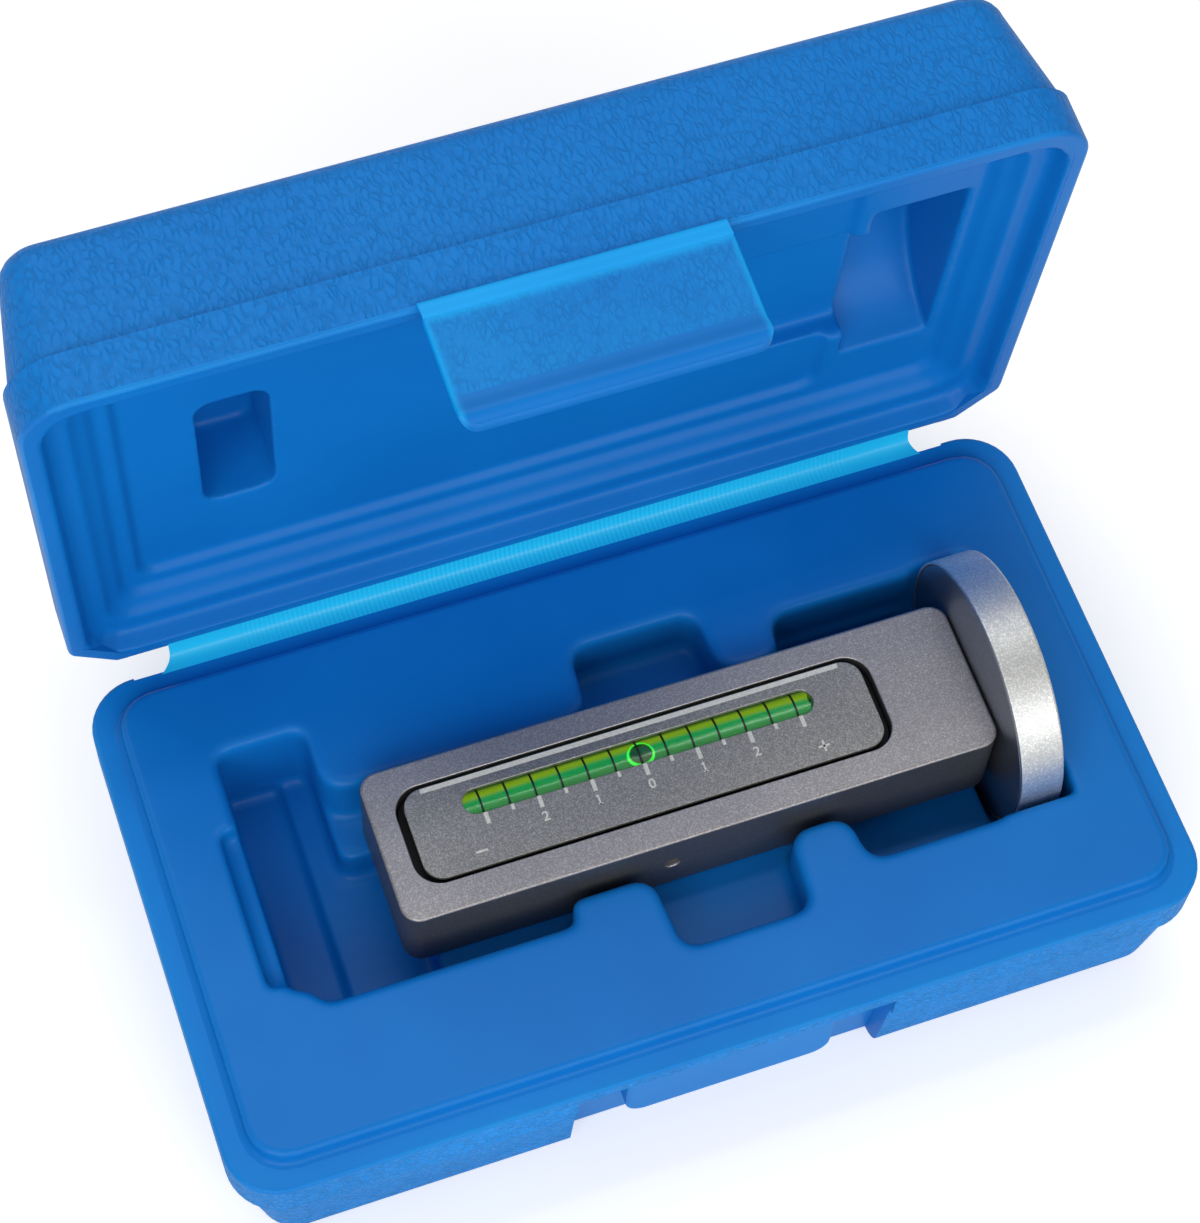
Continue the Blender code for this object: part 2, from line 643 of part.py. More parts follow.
def make_lid_inner_wall(looks, pivot):
    seen = lid_inner_levels()
    back = [(CASE_WALL, 0)]
    back += [(height + CASE_WALL, inset - CASE_WALL) for height, inset in seen[EDGE_STEPS + 1:]]
    rings = []
    for height, inset in back[::-1] + seen:
        corner = max(CASE_CORNER - inset / 2, LID_POCKET_CORNER)
        rings.append(case_ring(LID_RIM_Z + height, inset, inset, corner))
    wall = add("lid_inner_wall", body_of_rings(rings), looks, pivot)

    panel_z = LID_RIM_Z + LID_PANEL_HEIGHT
    bed_z = LID_RIM_Z + BODY_HEIGHT / 2 + LID_BODY_CLEARANCE
    disc_left = MAGNET_LEFT - LID_DISC_LEFT_GAP
    disc_right = MAGNET_RIGHT + LID_DISC_RIGHT_GAP
    panel = rectangle(BODY_LEFT - PANEL_LEFT_REACH, BODY_RIGHT - PANEL_RIGHT_SETBACK,
                      -PANEL_HALF_WIDTH, PANEL_HALF_WIDTH, LID_POCKET_CORNER)
    channel_side = BODY_SIDE + CHANNEL_SIDE_GAP
    channel = rectangle(BODY_RIGHT - CHANNEL_LENGTH, disc_left + OVERRUN, -channel_side, channel_side,
                        LID_POCKET_CORNER)
    hole_left = BODY_LEFT - LID_POCKET_REACH
    hole = rectangle(hole_left, hole_left + LID_POCKET_LENGTH, -LID_POCKET_FRONT, LID_POCKET_BACK,
                     LID_POCKET_CORNER)
    pockets = [("panel", panel, panel_z, bed_z, LID_MOUTH_FLARE),
               ("channel", channel, panel_z, bed_z + CHANNEL_RISE, LID_MOUTH_FLARE),
               ("pocket", hole, panel_z, LID_RIM_Z + LID_POCKET_HEIGHT, LID_MOUTH_FLARE)]
    radius = MAGNET_RADIUS + LID_DISC_CLEARANCE
    for name, corners, mouth, floor, flare in pockets:
        join(wall, name + "_wall", pocket_wall(corners, mouth, floor), pivot)
    shell = arch(radius + CASE_WALL, panel_z + CASE_WALL / 2)
    join(wall, "disc_wall", along_x(shell, disc_left - CASE_WALL, disc_right + CASE_WALL), pivot)
    for name, corners, mouth, floor, flare in pockets:
        cut(wall, name, pocket(corners, mouth, floor, flare, LID_MOUTH_FLARE), pivot)
    slot = arch(radius, LID_RIM_Z + LID_STEP_HEIGHT)
    cut(wall, "disc_slot", along_x(slot, disc_left, disc_right), pivot)
    return wall


def make_hinge_leaf(name, looks, direction, pivot=None):
    """Half of the living hinge, from the rim to just short of the fold."""
    near = HINGE_AXIS.z + direction * GAP / 2
    far = near + direction * HINGE_THICKNESS
    corners = rectangle(-HINGE_HALF_LENGTH, HINGE_HALF_LENGTH, CASE_HALF_Y + GAP,
                        HINGE_AXIS.y - GAP / 2, HINGE_END_CORNER)
    return add(name, upright(corners, [(near, 0), (far, 0)]), looks, pivot)


def make_latch_hinge_leaf(looks, pivot):
    bottom = LATCH_AXIS.z + GAP / 2
    side = FLAP_HALF_WIDTH - GAP
    corners = rectangle(-side, side, LATCH_AXIS.y + GAP, -CASE_HALF_Y - GAP, SMALLEST_RADIUS)
    levels = [(bottom, 0), (bottom + FLAP_WEB_THICKNESS, 0)]
    return add("latch_hinge_leaf", upright(corners, levels), looks, pivot)


def make_latch_flap(looks, pivot):
    top = LATCH_AXIS.z - FLAP_WEB_LENGTH
    bottom = LATCH_AXIS.z - FLAP_LENGTH
    back = LATCH_AXIS.y + FLAP_THICKNESS / 2
    front = LATCH_AXIS.y - FLAP_THICKNESS / 2
    corners = [(-FLAP_HALF_WIDTH, bottom, FLAP_CORNER), (FLAP_HALF_WIDTH, bottom, FLAP_CORNER),
               (FLAP_HALF_WIDTH, top, FLAP_EDGE), (-FLAP_HALF_WIDTH, top, FLAP_EDGE)]
    plate = along_y(corners, [(back, 0), (front + FLAP_EDGE, 0), (front, FLAP_EDGE)])
    flap = add("latch_flap", plate, looks, pivot)
    web_side = FLAP_HALF_WIDTH - GAP
    web_half = FLAP_WEB_THICKNESS / 2
    join(flap, "web", box(-web_side, web_side, LATCH_AXIS.y - web_half, LATCH_AXIS.y + web_half,
                          top - FLAP_EDGE * 2, LATCH_AXIS.z - GAP / 2), pivot)
    hook_top = PARTING_Z - CATCH_DROP - GAP
    tip = back + HOOK_REACH
    hook = [(tip, hook_top), (tip, hook_top - HOOK_HEIGHT / 2), (back, hook_top - HOOK_HEIGHT),
            (back - FLAP_THICKNESS / 2, hook_top - HOOK_HEIGHT), (back - FLAP_THICKNESS / 2, hook_top)]
    join(flap, "hook", along_x(hook, -HOOK_HALF_WIDTH, HOOK_HALF_WIDTH), pivot)
    return flap


def make_gauge_body(looks):
    corners = rectangle(BODY_LEFT, BODY_RIGHT, -BODY_SIDE, BODY_SIDE, BODY_CORNER)
    body = add("gauge_body", rounded_block(corners, BODY_BOTTOM, BODY_TOP, BODY_EDGE), looks)
    dial = dial_rectangle(DIAL_LENGTH, DIAL_WIDTH, DIAL_Y, DIAL_CORNER)
    cut(body, "dial_pocket", upright(dial, [(DIAL_FLOOR, 0), (BODY_TOP + OVERRUN, 0)]))
    hole_radius = MAGNET_SCREW_RADIUS + GAP
    hole = [(-OVERRUN, 0), (-OVERRUN, hole_radius), (MAGNET_SCREW_REACH, hole_radius),
            (MAGNET_SCREW_REACH + hole_radius, 0)]
    end = Vector((BODY_RIGHT, 0, PARTING_Z))
    cut(body, "magnet_screw_hole", turned(hole, end, Vector((-1, 0, 0)), SMALL_ROUND_STEPS))
    grub = [(-OVERRUN, 0), (-OVERRUN, GRUB_HOLE_RADIUS), (BODY_SIDE - DIAL_WIDTH / 4, GRUB_HOLE_RADIUS),
            (BODY_SIDE - DIAL_WIDTH / 4, 0)]
    front = Vector((DIAL_X, -BODY_SIDE, PARTING_Z))
    cut(body, "grub_screw_hole", turned(grub, front, Vector((0, 1, 0)), SMALL_ROUND_STEPS))
    return body


def dial_rectangle(length, width, middle, corner):
    return rectangle(DIAL_X - length / 2, DIAL_X + length / 2, middle - width / 2, middle + width / 2,
                     corner)


def make_dial_plate(looks):
    corners = dial_rectangle(DIAL_LENGTH - GROOVE_END * 2, DIAL_WIDTH - GROOVE_SIDE * 2, DIAL_Y,
                             PLATE_CORNER)
    plate = add("dial_plate", upright(corners, [(PLATE_BOTTOM, 0), (BODY_TOP - PLATE_EDGE, 0),
                                                (BODY_TOP, PLATE_EDGE)]), looks)
    window = dial_rectangle(WINDOW_LENGTH, WINDOW_WIDTH, VIAL_Y, WINDOW_WIDTH / 2 - SMALLEST_RADIUS / 10)
    cut(plate, "window", upright(window, [(PLATE_BOTTOM - OVERRUN, 0), (BODY_TOP + OVERRUN, 0)]))
    return plate


def make_plate_adhesive(looks):
    inset = ADHESIVE_INSET * 2
    corners = dial_rectangle(DIAL_LENGTH - GROOVE_END * 2 - inset, DIAL_WIDTH - GROOVE_SIDE * 2 - inset,
                             DIAL_Y, PLATE_CORNER - ADHESIVE_INSET)
    bottom = ADHESIVE_TOP - ADHESIVE_THICKNESS
    sheet = add("plate_adhesive", upright(corners, [(bottom, 0), (ADHESIVE_TOP, 0)]), looks)
    width = WINDOW_WIDTH + WINDOW_RELIEF * 2
    window = dial_rectangle(WINDOW_LENGTH + WINDOW_RELIEF * 2, width, VIAL_Y,
                            width / 2 - SMALLEST_RADIUS / 10)
    cut(sheet, "window", upright(window, [(bottom - OVERRUN, 0), (ADHESIVE_TOP + OVERRUN, 0)]))
    return sheet


def make_vial_holder(looks):
    corners = dial_rectangle(DIAL_LENGTH - GAP * 2, DIAL_WIDTH - GAP * 2, DIAL_Y, DIAL_CORNER - GAP)
    holder = add("vial_holder", upright(corners, [(HOLDER_BOTTOM, 0), (HOLDER_TOP, 0)]), looks)
    radius = VIAL_RADIUS + GAP
    trough = [(VIAL_Y + radius, HOLDER_TOP + OVERRUN), (VIAL_Y - radius, HOLDER_TOP + OVERRUN)]
    for step in range(SMALL_ROUND_STEPS // 2 + 1):
        angle = math.pi * step / (SMALL_ROUND_STEPS // 2)
        trough.append((VIAL_Y - radius * math.cos(angle), VIAL_Z - radius * math.sin(angle)))
    half = VIAL_LENGTH / 2 + GAP
    cut(holder, "trough", along_x(trough, DIAL_X - half, DIAL_X + half))
    return holder


def bore_radius(along):
    """The vial's bore is barrel shaped: it narrows from its middle along a wide arc."""
    return BORE_RADIUS - along * along / (2 * BORE_CURVE_RADIUS)


def bore_profile(half_length, clearance):
    profile = []
    for step in range(BORE_STATIONS + 1):
        along = half_length * (2 * step / BORE_STATIONS - 1)
        profile.append((along, bore_radius(along) - clearance))
    return profile


VIAL_CENTRE = Vector((DIAL_X, VIAL_Y, VIAL_Z))
ALONG_X = Vector((1, 0, 0))


def make_vial_tube(looks):
    half = VIAL_LENGTH / 2
    bore_half = BORE_LENGTH / 2
    end_radius = bore_radius(bore_half)
    profile = [(-half, end_radius)] + bore_profile(bore_half, 0) + [(half, end_radius)]
    profile += [(half, VIAL_RADIUS), (-half, VIAL_RADIUS)]
    return add("vial_tube", turned(profile, VIAL_CENTRE, ALONG_X, SMALL_ROUND_STEPS), looks)


def make_vial_plug(name, looks, side):
    radius = bore_radius(BORE_LENGTH / 2) - GAP
    inner = BORE_LENGTH / 2 + GAP
    outer = VIAL_LENGTH / 2 - PLUG_SETBACK
    profile = [(inner, 0), (inner, radius), (outer, radius), (outer, 0)]
    return add(name, turned(profile, VIAL_CENTRE, ALONG_X * side, SMALL_ROUND_STEPS), looks)


def bubble_middle_z():
    return VIAL_Z + BORE_RADIUS - GAP - BUBBLE_HEIGHT / 2


def make_vial_liquid(looks):
    half = BORE_LENGTH / 2 - GAP / 2
    profile = bore_profile(half, GAP)
    profile = [(-half, 0)] + profile + [(half, 0)]
    liquid = add("vial_liquid", turned(profile, VIAL_CENTRE, ALONG_X, SMALL_ROUND_STEPS), looks)
    reach = BUBBLE_TRAVEL + (BUBBLE_LENGTH / 2 + GAP) / BORE_CURVE_RADIUS
    half_width = BUBBLE_WIDTH / 2 + GAP
    floor = bubble_middle_z() - BUBBLE_HEIGHT / 2 - GAP
    rings = []
    for step in range(BORE_STATIONS + 1):
        angle = reach * (2 * step / BORE_STATIONS - 1)
        drop = BORE_CURVE_RADIUS * (1 - math.cos(angle))
        x = DIAL_X + BORE_CURVE_RADIUS * math.sin(angle)
        ring = [Vector((x, VIAL_Y + half_width, VIAL_Z + BORE_RADIUS + OVERRUN))]
        ring.append(Vector((x, VIAL_Y - half_width, VIAL_Z + BORE_RADIUS + OVERRUN)))
        for corner in range(CORNER_STEPS * 2 + 1):
            turn = math.pi * corner / (CORNER_STEPS * 2)
            ring.append(Vector((x, VIAL_Y - half_width * math.cos(turn),
                                floor + half_width * (1 - math.sin(turn)) - drop)))
        rings.append(ring)
    cut(liquid, "bubble_way", body_of_rings(rings))
    return liquid


def make_vial_bubble(looks, pivot):
    bm = bmesh.new()
    bmesh.ops.create_uvsphere(bm, u_segments=SMALL_ROUND_STEPS // 2, v_segments=CORNER_STEPS * 2,
                              radius=1.0)
    bmesh.ops.scale(bm, vec=(BUBBLE_LENGTH / 2, BUBBLE_WIDTH / 2, BUBBLE_HEIGHT / 2), verts=bm.verts)
    bmesh.ops.translate(bm, vec=(DIAL_X, VIAL_Y, bubble_middle_z()), verts=bm.verts)
    return add("vial_bubble", bm, looks, pivot)


def make_holder_grub_screw(looks):
    tip = BODY_SIDE + DIAL_Y - DIAL_WIDTH / 2
    centre = Vector((DIAL_X, -BODY_SIDE, PARTING_Z))
    back = tip - GRUB_SCREW_LENGTH
    socket = back + GRUB_SOCKET_DEPTH
    profile = [(tip, 0), (tip, GRUB_SCREW_RADIUS), (back, GRUB_SCREW_RADIUS),
               (back, GRUB_SOCKET_RADIUS), (socket, GRUB_SOCKET_RADIUS), (socket, 0)]
    return add("holder_grub_screw", turned(profile, centre, Vector((0, 1, 0)), SMALL_ROUND_STEPS), looks)


# Magnet pieces: places along X are measured from the back of the magnet

MAGNET_BACK = Vector((MAGNET_LEFT, 0, PARTING_Z))
CUP_BACK_FACE = BACK_PLATE_THICKNESS + GAP
CUP_FLOOR = CUP_BACK_FACE + CUP_BACK
SCREW_HOLE_RADIUS = MAGNET_SCREW_RADIUS + GAP
INSERT_BACK = CUP_FLOOR + GAP
INSERT_FACE = MAGNET_THICKNESS - FACE_SETBACK
CUP_BORE_RADIUS = MAGNET_RADIUS - CUP_WALL
PLATE_SEAT_RADIUS = MAGNET_RADIUS - BACK_PLATE_LIP
HEAD_POCKET_RADIUS = MAGNET_SCREW_HEAD_RADIUS + GAP * 2
POLE_SEAT = INSERT_BACK + POLE_SEAT_THICKNESS
WASHER_BACK = POLE_SEAT + GAP
HEAD_BACK = WASHER_BACK + WASHER_THICKNESS + GAP


def make_magnet_back_plate(looks):
    profile = [(0, SCREW_HOLE_RADIUS), (0, PLATE_SEAT_RADIUS - GAP),
               (BACK_PLATE_THICKNESS, PLATE_SEAT_RADIUS - GAP), (BACK_PLATE_THICKNESS, SCREW_HOLE_RADIUS)]
    return add("magnet_back_plate", turned(profile, MAGNET_BACK, ALONG_X, ROUND_STEPS), looks)


def make_magnet_cup(looks):
    profile = [(CUP_BACK_FACE, SCREW_HOLE_RADIUS), (CUP_BACK_FACE, PLATE_SEAT_RADIUS),
               (0, PLATE_SEAT_RADIUS), (0, MAGNET_RADIUS - MAGNET_EDGE / 2),
               (MAGNET_EDGE / 2, MAGNET_RADIUS), (MAGNET_THICKNESS - MAGNET_EDGE, MAGNET_RADIUS),
               (MAGNET_THICKNESS, MAGNET_RADIUS - MAGNET_EDGE), (MAGNET_THICKNESS, CUP_BORE_RADIUS),
               (CUP_FLOOR, CUP_BORE_RADIUS), (CUP_FLOOR, SCREW_HOLE_RADIUS)]
    return add("magnet_cup", turned(profile, MAGNET_BACK, ALONG_X, ROUND_STEPS), looks)


def make_ring_magnet(looks):
    outer = CUP_BORE_RADIUS - GAP
    profile = [(INSERT_BACK, RING_HOLE_RADIUS), (INSERT_BACK, outer), (INSERT_FACE, outer),
               (INSERT_FACE, RING_HOLE_RADIUS)]
    return add("ring_magnet", turned(profile, MAGNET_BACK, ALONG_X, ROUND_STEPS), looks)


def make_magnet_pole(looks):
    outer = RING_HOLE_RADIUS - GAP
    profile = [(INSERT_BACK, SCREW_HOLE_RADIUS), (INSERT_BACK, outer), (INSERT_FACE, outer),
               (INSERT_FACE, HEAD_POCKET_RADIUS), (POLE_SEAT, HEAD_POCKET_RADIUS),
               (POLE_SEAT, SCREW_HOLE_RADIUS)]
    return add("magnet_pole", turned(profile, MAGNET_BACK, ALONG_X, ROUND_STEPS), looks)


def make_magnet_lock_washer(looks):
    outer = MAGNET_SCREW_HEAD_RADIUS
    washer_face = WASHER_BACK + WASHER_THICKNESS
    profile = [(WASHER_BACK, SCREW_HOLE_RADIUS), (WASHER_BACK, outer), (washer_face, outer),
               (washer_face, SCREW_HOLE_RADIUS)]
    return add("magnet_lock_washer", turned(profile, MAGNET_BACK, ALONG_X, SMALL_ROUND_STEPS), looks)


def make_magnet_screw(looks):
    tip = -MAGNET_SCREW_REACH
    face = HEAD_BACK + MAGNET_SCREW_HEAD_HEIGHT
    socket = face - MAGNET_SCREW_SOCKET_DEPTH
    profile = [(tip, 0), (tip, MAGNET_SCREW_RADIUS), (HEAD_BACK, MAGNET_SCREW_RADIUS),
               (HEAD_BACK, MAGNET_SCREW_HEAD_RADIUS), (face, MAGNET_SCREW_HEAD_RADIUS),
               (face, MAGNET_SCREW_SOCKET_RADIUS), (socket, MAGNET_SCREW_SOCKET_RADIUS), (socket, 0)]
    return add("magnet_screw", turned(profile, MAGNET_BACK, ALONG_X, SMALL_ROUND_STEPS), looks)


def make_case():
    blue = material("case_blue", (0.013, 0.16, 0.56), 0.42)
    web_blue = material("hinge_blue", (0.012, 0.42, 0.83), 0.35)
    hinge = empty("lid_hinge_axis", HINGE_AXIS)
    latch = empty("latch_axis", LATCH_AXIS, hinge)
    make_base_outer_wall(blue)
    make_base_inner_tray(blue)
    make_hinge_leaf("base_hinge_leaf", web_blue, -1)
    make_hinge_leaf("lid_hinge_leaf", web_blue, 1, hinge)
    make_lid_outer_wall(blue, hinge)
    make_lid_inner_wall(blue, hinge)
    make_latch_hinge_leaf(web_blue, hinge)
    make_latch_flap(blue, latch)
    hinge.rotation_euler.x = -LID_OPEN


def make_gauge():
    grey = material("anodised_grey", (0.17, 0.16, 0.18), 0.5, 0.6)
    plate_grey = material("dial_grey", (0.12, 0.12, 0.125), 0.45, 0.5)
    black = material("holder_black", (0.006, 0.006, 0.006), 0.5)
    tape = material("adhesive_clear", (0.7, 0.7, 0.68), 0.6)
    clear = material("vial_clear", (0.35, 0.75, 0.35), 0.05, 0.0, 0.4)
    green = material("vial_green", (0.02, 0.45, 0.06), 0.1)
    pale = material("bubble_pale", (0.5, 0.85, 0.2), 0.1)
    make_gauge_body(grey)
    make_dial_plate(plate_grey)
    make_plate_adhesive(tape)
    make_vial_holder(black)
    make_vial_tube(clear)
    make_vial_plug("vial_plug_left", clear, -1)
    make_vial_plug("vial_plug_right", clear, 1)
    make_vial_liquid(green)
    make_vial_bubble(pale, empty("bubble_axis", BUBBLE_AXIS))
    make_holder_grub_screw(black)


def make_magnet():
    grey = material("back_plate_grey", (0.13, 0.13, 0.14), 0.4, 0.6)
    silver = material("zinc_silver", (0.62, 0.62, 0.6), 0.35, 0.9)
    ferrite = material("ferrite_black", (0.02, 0.02, 0.022), 0.6)
    steel = material("plain_steel", (0.5, 0.5, 0.5), 0.3, 1.0)
    make_magnet_back_plate(grey)
    make_magnet_cup(silver)
    make_ring_magnet(ferrite)
    make_magnet_pole(silver)
    make_magnet_lock_washer(steel)
    make_magnet_screw(steel)


clear_scene()
make_case()
make_gauge()
make_magnet()
bpy.context.view_layer.update()
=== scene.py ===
import json
import math

import bmesh
import bpy
from mathutils import Matrix, Vector


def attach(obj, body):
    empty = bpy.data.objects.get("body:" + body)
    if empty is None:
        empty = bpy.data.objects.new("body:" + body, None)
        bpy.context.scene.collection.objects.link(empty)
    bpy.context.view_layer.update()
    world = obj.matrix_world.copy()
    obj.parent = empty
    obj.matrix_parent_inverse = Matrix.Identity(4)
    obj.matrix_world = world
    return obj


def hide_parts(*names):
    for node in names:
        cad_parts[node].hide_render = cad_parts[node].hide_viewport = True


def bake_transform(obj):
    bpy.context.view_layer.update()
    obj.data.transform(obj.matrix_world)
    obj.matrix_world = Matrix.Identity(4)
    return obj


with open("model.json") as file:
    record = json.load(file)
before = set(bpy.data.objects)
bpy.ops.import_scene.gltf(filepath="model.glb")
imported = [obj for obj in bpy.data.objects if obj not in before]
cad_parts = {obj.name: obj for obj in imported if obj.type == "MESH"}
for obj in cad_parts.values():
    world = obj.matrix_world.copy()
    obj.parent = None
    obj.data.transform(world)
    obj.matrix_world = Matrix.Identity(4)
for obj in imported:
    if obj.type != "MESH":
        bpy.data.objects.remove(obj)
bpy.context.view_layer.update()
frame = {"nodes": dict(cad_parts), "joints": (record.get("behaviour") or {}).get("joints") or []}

mm = 0.001

# Camera
# The viewpoint stands high over the front left corner of the case, a little over half a metre
# away, and looks down on the open tray through a long lens.
view_place = Vector((-102.825, -221.668, 562.668)) * mm
view_turn = [math.radians(degrees) for degrees in (27.3942, -1.9279, -19.3967)]
camera_data = bpy.data.cameras.new("view")
camera_data.lens = 94.575
camera_data.sensor_width = 36
camera_data.shift_x = -0.00984
camera_data.shift_y = 0.02111
camera_data.clip_start = 10 * mm
camera_data.clip_end = 10
camera = bpy.data.objects.new("view", camera_data)
camera.location = view_place
camera.rotation_euler = view_turn
bpy.context.scene.collection.objects.link(camera)
bpy.context.scene.camera = camera
bpy.context.scene.view_settings.view_transform = "Standard"

# Floor and light
# A plain pale floor keeps the soft shadow of the case and pales out far away. Two large soft lamps
# stand low in front, one high behind and a narrow one over the magnet; the surround is even.
floor_reach = 3.0
floor_light = 0.36
far_floor_light = 1.0
fade_start = 0.3
fade_end = 1.2
surround_light = 0.45
surround_gloss = 0.38
strip_width = 0.10
strip_length = 0.6


def shader_of(look):
    return look.node_tree.nodes["Principled BSDF"]


def new_look(name, colour, roughness, metallic=0.0, others=None):
    look = bpy.data.materials.new(name)
    look.use_nodes = True
    settings = {"Base Color": (*colour, 1), "Roughness": roughness, "Metallic": metallic}
    for label, value in (settings | (others or {})).items():
        shader_of(look).inputs[label].default_value = value
    return look


def add_node(tree, kind, **settings):
    node = tree.nodes.new(kind)
    for name, value in settings.items():
        setattr(node, name, value)
    return node


def made(tree, kind, feeds=None, **settings):
    """A node whose inputs are set by a figure or fed by another node's output."""
    node = add_node(tree, kind, **settings)
    for label, feed in (feeds or {}).items():
        if isinstance(feed, bpy.types.NodeSocket):
            tree.links.new(feed, node.inputs[label])
        else:
            node.inputs[label].default_value = feed
    return node


def ranged(tree, value, start, end, low=0.0, high=1.0, soft=False):
    """Takes a value from between start and end to between low and high."""
    node = made(tree, "ShaderNodeMapRange", {"Value": value, "From Min": start, "From Max": end,
                                             "To Min": low, "To Max": high},
                interpolation_type="SMOOTHSTEP" if soft else "LINEAR")
    return node.outputs[0]


def maths(tree, operation, *values):
    return made(tree, "ShaderNodeMath", dict(enumerate(values)), operation=operation).outputs[0]


def vector_maths(tree, operation, *values):
    node = made(tree, "ShaderNodeVectorMath", dict(enumerate(values)), operation=operation)
    return node.outputs["Value" if operation in ("LENGTH", "DOT_PRODUCT") else "Vector"]


def object_place(tree):
    return made(tree, "ShaderNodeTexCoord").outputs["Object"]


def put(name, shape, *looks):
    """Keeps a shape as a piece of its own."""
    data = bpy.data.meshes.new(name)
    shape.to_mesh(data)
    shape.free()
    for look in looks:
        data.materials.append(look)
    piece = bpy.data.objects.new(name, data)
    bpy.context.scene.collection.objects.link(piece)
    return piece


def level_by_ray(tree, socket, as_light, in_gloss, to_the_eye):
    """Sets a strength that differs as light, in reflections and as seen."""
    rays = add_node(tree, "ShaderNodeLightPath").outputs
    dim = ranged(tree, rays["Is Glossy Ray"], 0, 1, as_light, in_gloss)
    seen = maths(tree, "MAXIMUM", rays["Is Camera Ray"], rays["Is Transmission Ray"])
    tree.links.new(ranged(tree, seen, 0, 1, dim, to_the_eye), socket)


floor_look = new_look("studio_floor", (0.80, 0.80, 0.80), 0.9, others={"Emission Color": (1, 1, 1, 1)})
tree = floor_look.node_tree
away = vector_maths(tree, "LENGTH", object_place(tree))
level_by_ray(tree, shader_of(floor_look).inputs["Emission Strength"], 0.0, 0.0,
             ranged(tree, away, fade_start, fade_end, floor_light, far_floor_light))
floor_shape = bmesh.new()
bmesh.ops.create_grid(floor_shape, x_segments=1, y_segments=1, size=floor_reach)
floor = put("studio_floor", floor_shape, floor_look)

surround = bpy.data.worlds.new("pale_surround")
surround.use_nodes = True
level_by_ray(surround.node_tree, surround.node_tree.nodes["Background"].inputs["Strength"],
             surround_light, surround_gloss, 1.0)
surround.node_tree.nodes["Background"].inputs["Color"].default_value = (1, 1, 1, 1)
bpy.context.scene.world = surround


def soft_lamp(name, place, size, power):
    """A square lamp turned to the case. It doesn't show through the clear tube of the vial."""
    light = bpy.data.lights.new(name, "AREA")
    light.shape = "RECTANGLE"
    light.size = light.size_y = size
    light.energy = power
    lamp = bpy.data.objects.new(name, light)
    lamp.location = place
    lamp.rotation_euler = (-Vector(place)).to_track_quat("-Z", "Y").to_euler()
    lamp.visible_transmission = False
    bpy.context.scene.collection.objects.link(lamp)
    return lamp


soft_lamp("front_lamp", (-0.80, -1.20, 0.95), 1.3, 14)
soft_lamp("fill_lamp", (0.35, -1.35, 0.75), 0.8, 6)
soft_lamp("rear_lamp", (-0.20, 0.90, 1.30), 1.2, 7)
strip_lamp = soft_lamp("strip_lamp", (0.26, 0.26, 1.40), strip_width, 1.7)
strip_lamp.data.size = strip_length
strip_lamp.rotation_euler = (0, 0, 0)

# Base, outer wall
# The lower half of the case, blown in one piece from blue polyethylene. Its outer wall is
# leather-grained, with a smooth rim and a smooth channel in front with the catch standing in it.
half_x = 91.2 * mm
half_y = 51.45 * mm
rim_height = 33.0 * mm
wall = 1.5 * mm
case_corner = 10 * mm
rim_round = 0.8 * mm
band_height = 9.25 * mm
band_step = 1.0 * mm
foot_round = 5.5 * mm
end_draft = math.radians(10)
side_draft = math.radians(5)
land_proud = 0.02 * mm
land_inset = 5.8 * mm
recess_left = -30.0 * mm
recess_right = 29.5 * mm
recess_lip = 3.0 * mm
recess_depth = 3.75 * mm
recess_overrun = 5 * mm
catch_left = -20.5 * mm
catch_right = 18.5 * mm
catch_foot = 14.25 * mm
catch_corner = 4 * mm
catch_setback = 0.55 * mm
catch_round = 0.8 * mm
rear_notch_left = -81 * mm
rear_notch_right = 79.5 * mm
rear_notch_depth = 0.7 * mm
rear_notch_height = 4 * mm
grain_push = 1.6 * mm
case_blue_pale = (0.004, 0.170, 0.555)
# edge_blue: the pale tone of the rim edge's painted highlight, and the pale cloud tone of the flap.
edge_blue = (0.007, 0.220, 0.620)
# The base's outer wall is painted in paler, brighter copies of the case blue: painted light on its front
# and sides.
foot_blue = (0.003, 0.180, 0.570)
foot_blue_pale = (0.004, 0.205, 0.620)
foot_blue_bright = (0.003, 0.265, 0.780)


def new_group(name, inputs, outputs):
    group = bpy.data.node_groups.new(name, "ShaderNodeTree")
    for label, value in inputs.items():
        socket = group.interface.new_socket(name=label, in_out="INPUT", socket_type="NodeSocketFloat")
        socket.default_value = value
    for label in outputs:
        group.interface.new_socket(name=label, in_out="OUTPUT", socket_type="NodeSocketFloat")
    return group, group.nodes.new("NodeGroupInput").outputs, group.nodes.new("NodeGroupOutput").inputs


def noise(tree, place, scale, detail):
    return made(tree, "ShaderNodeTexNoise", {"Vector": place, "Scale": scale, "Detail": detail}).outputs


# Crinkled leather grain: small long cells with soft creases of uneven depth between them
grain, grain_in, grain_out = new_group("crinkle_grain", {"Cell Scale": 820.0}, ("Height", "Crease"))
place = object_place(grain)
drift = vector_maths(grain, "SUBTRACT", noise(grain, place, 420.0, 2.0)["Color"], (0.5, 0.5, 0.5))
warped = vector_maths(grain, "ADD", place, vector_maths(grain, "MULTIPLY", drift, (grain_push,) * 3))
drawn = vector_maths(grain, "MULTIPLY", warped, (1, 0.45, 0.9))
cells = made(grain, "ShaderNodeTexVoronoi", {"Vector": drawn, "Scale": grain_in["Cell Scale"]},
             feature="DISTANCE_TO_EDGE")
crease = ranged(grain, cells.outputs["Distance"], 0.24, 0.0, soft=True)
uneven = noise(grain, place, 500.0, 2.0)["Fac"]
creased = maths(grain, "MULTIPLY", crease, ranged(grain, uneven, 0.35, 0.62, 0.25))
relief = maths(grain, "SUBTRACT", maths(grain, "MULTIPLY", uneven, 0.9), creased)
grain.links.new(relief, grain_out["Height"])
# The Crease output masks the painted shade in the grain's creases.
grain.links.new(creased, grain_out["Crease"])

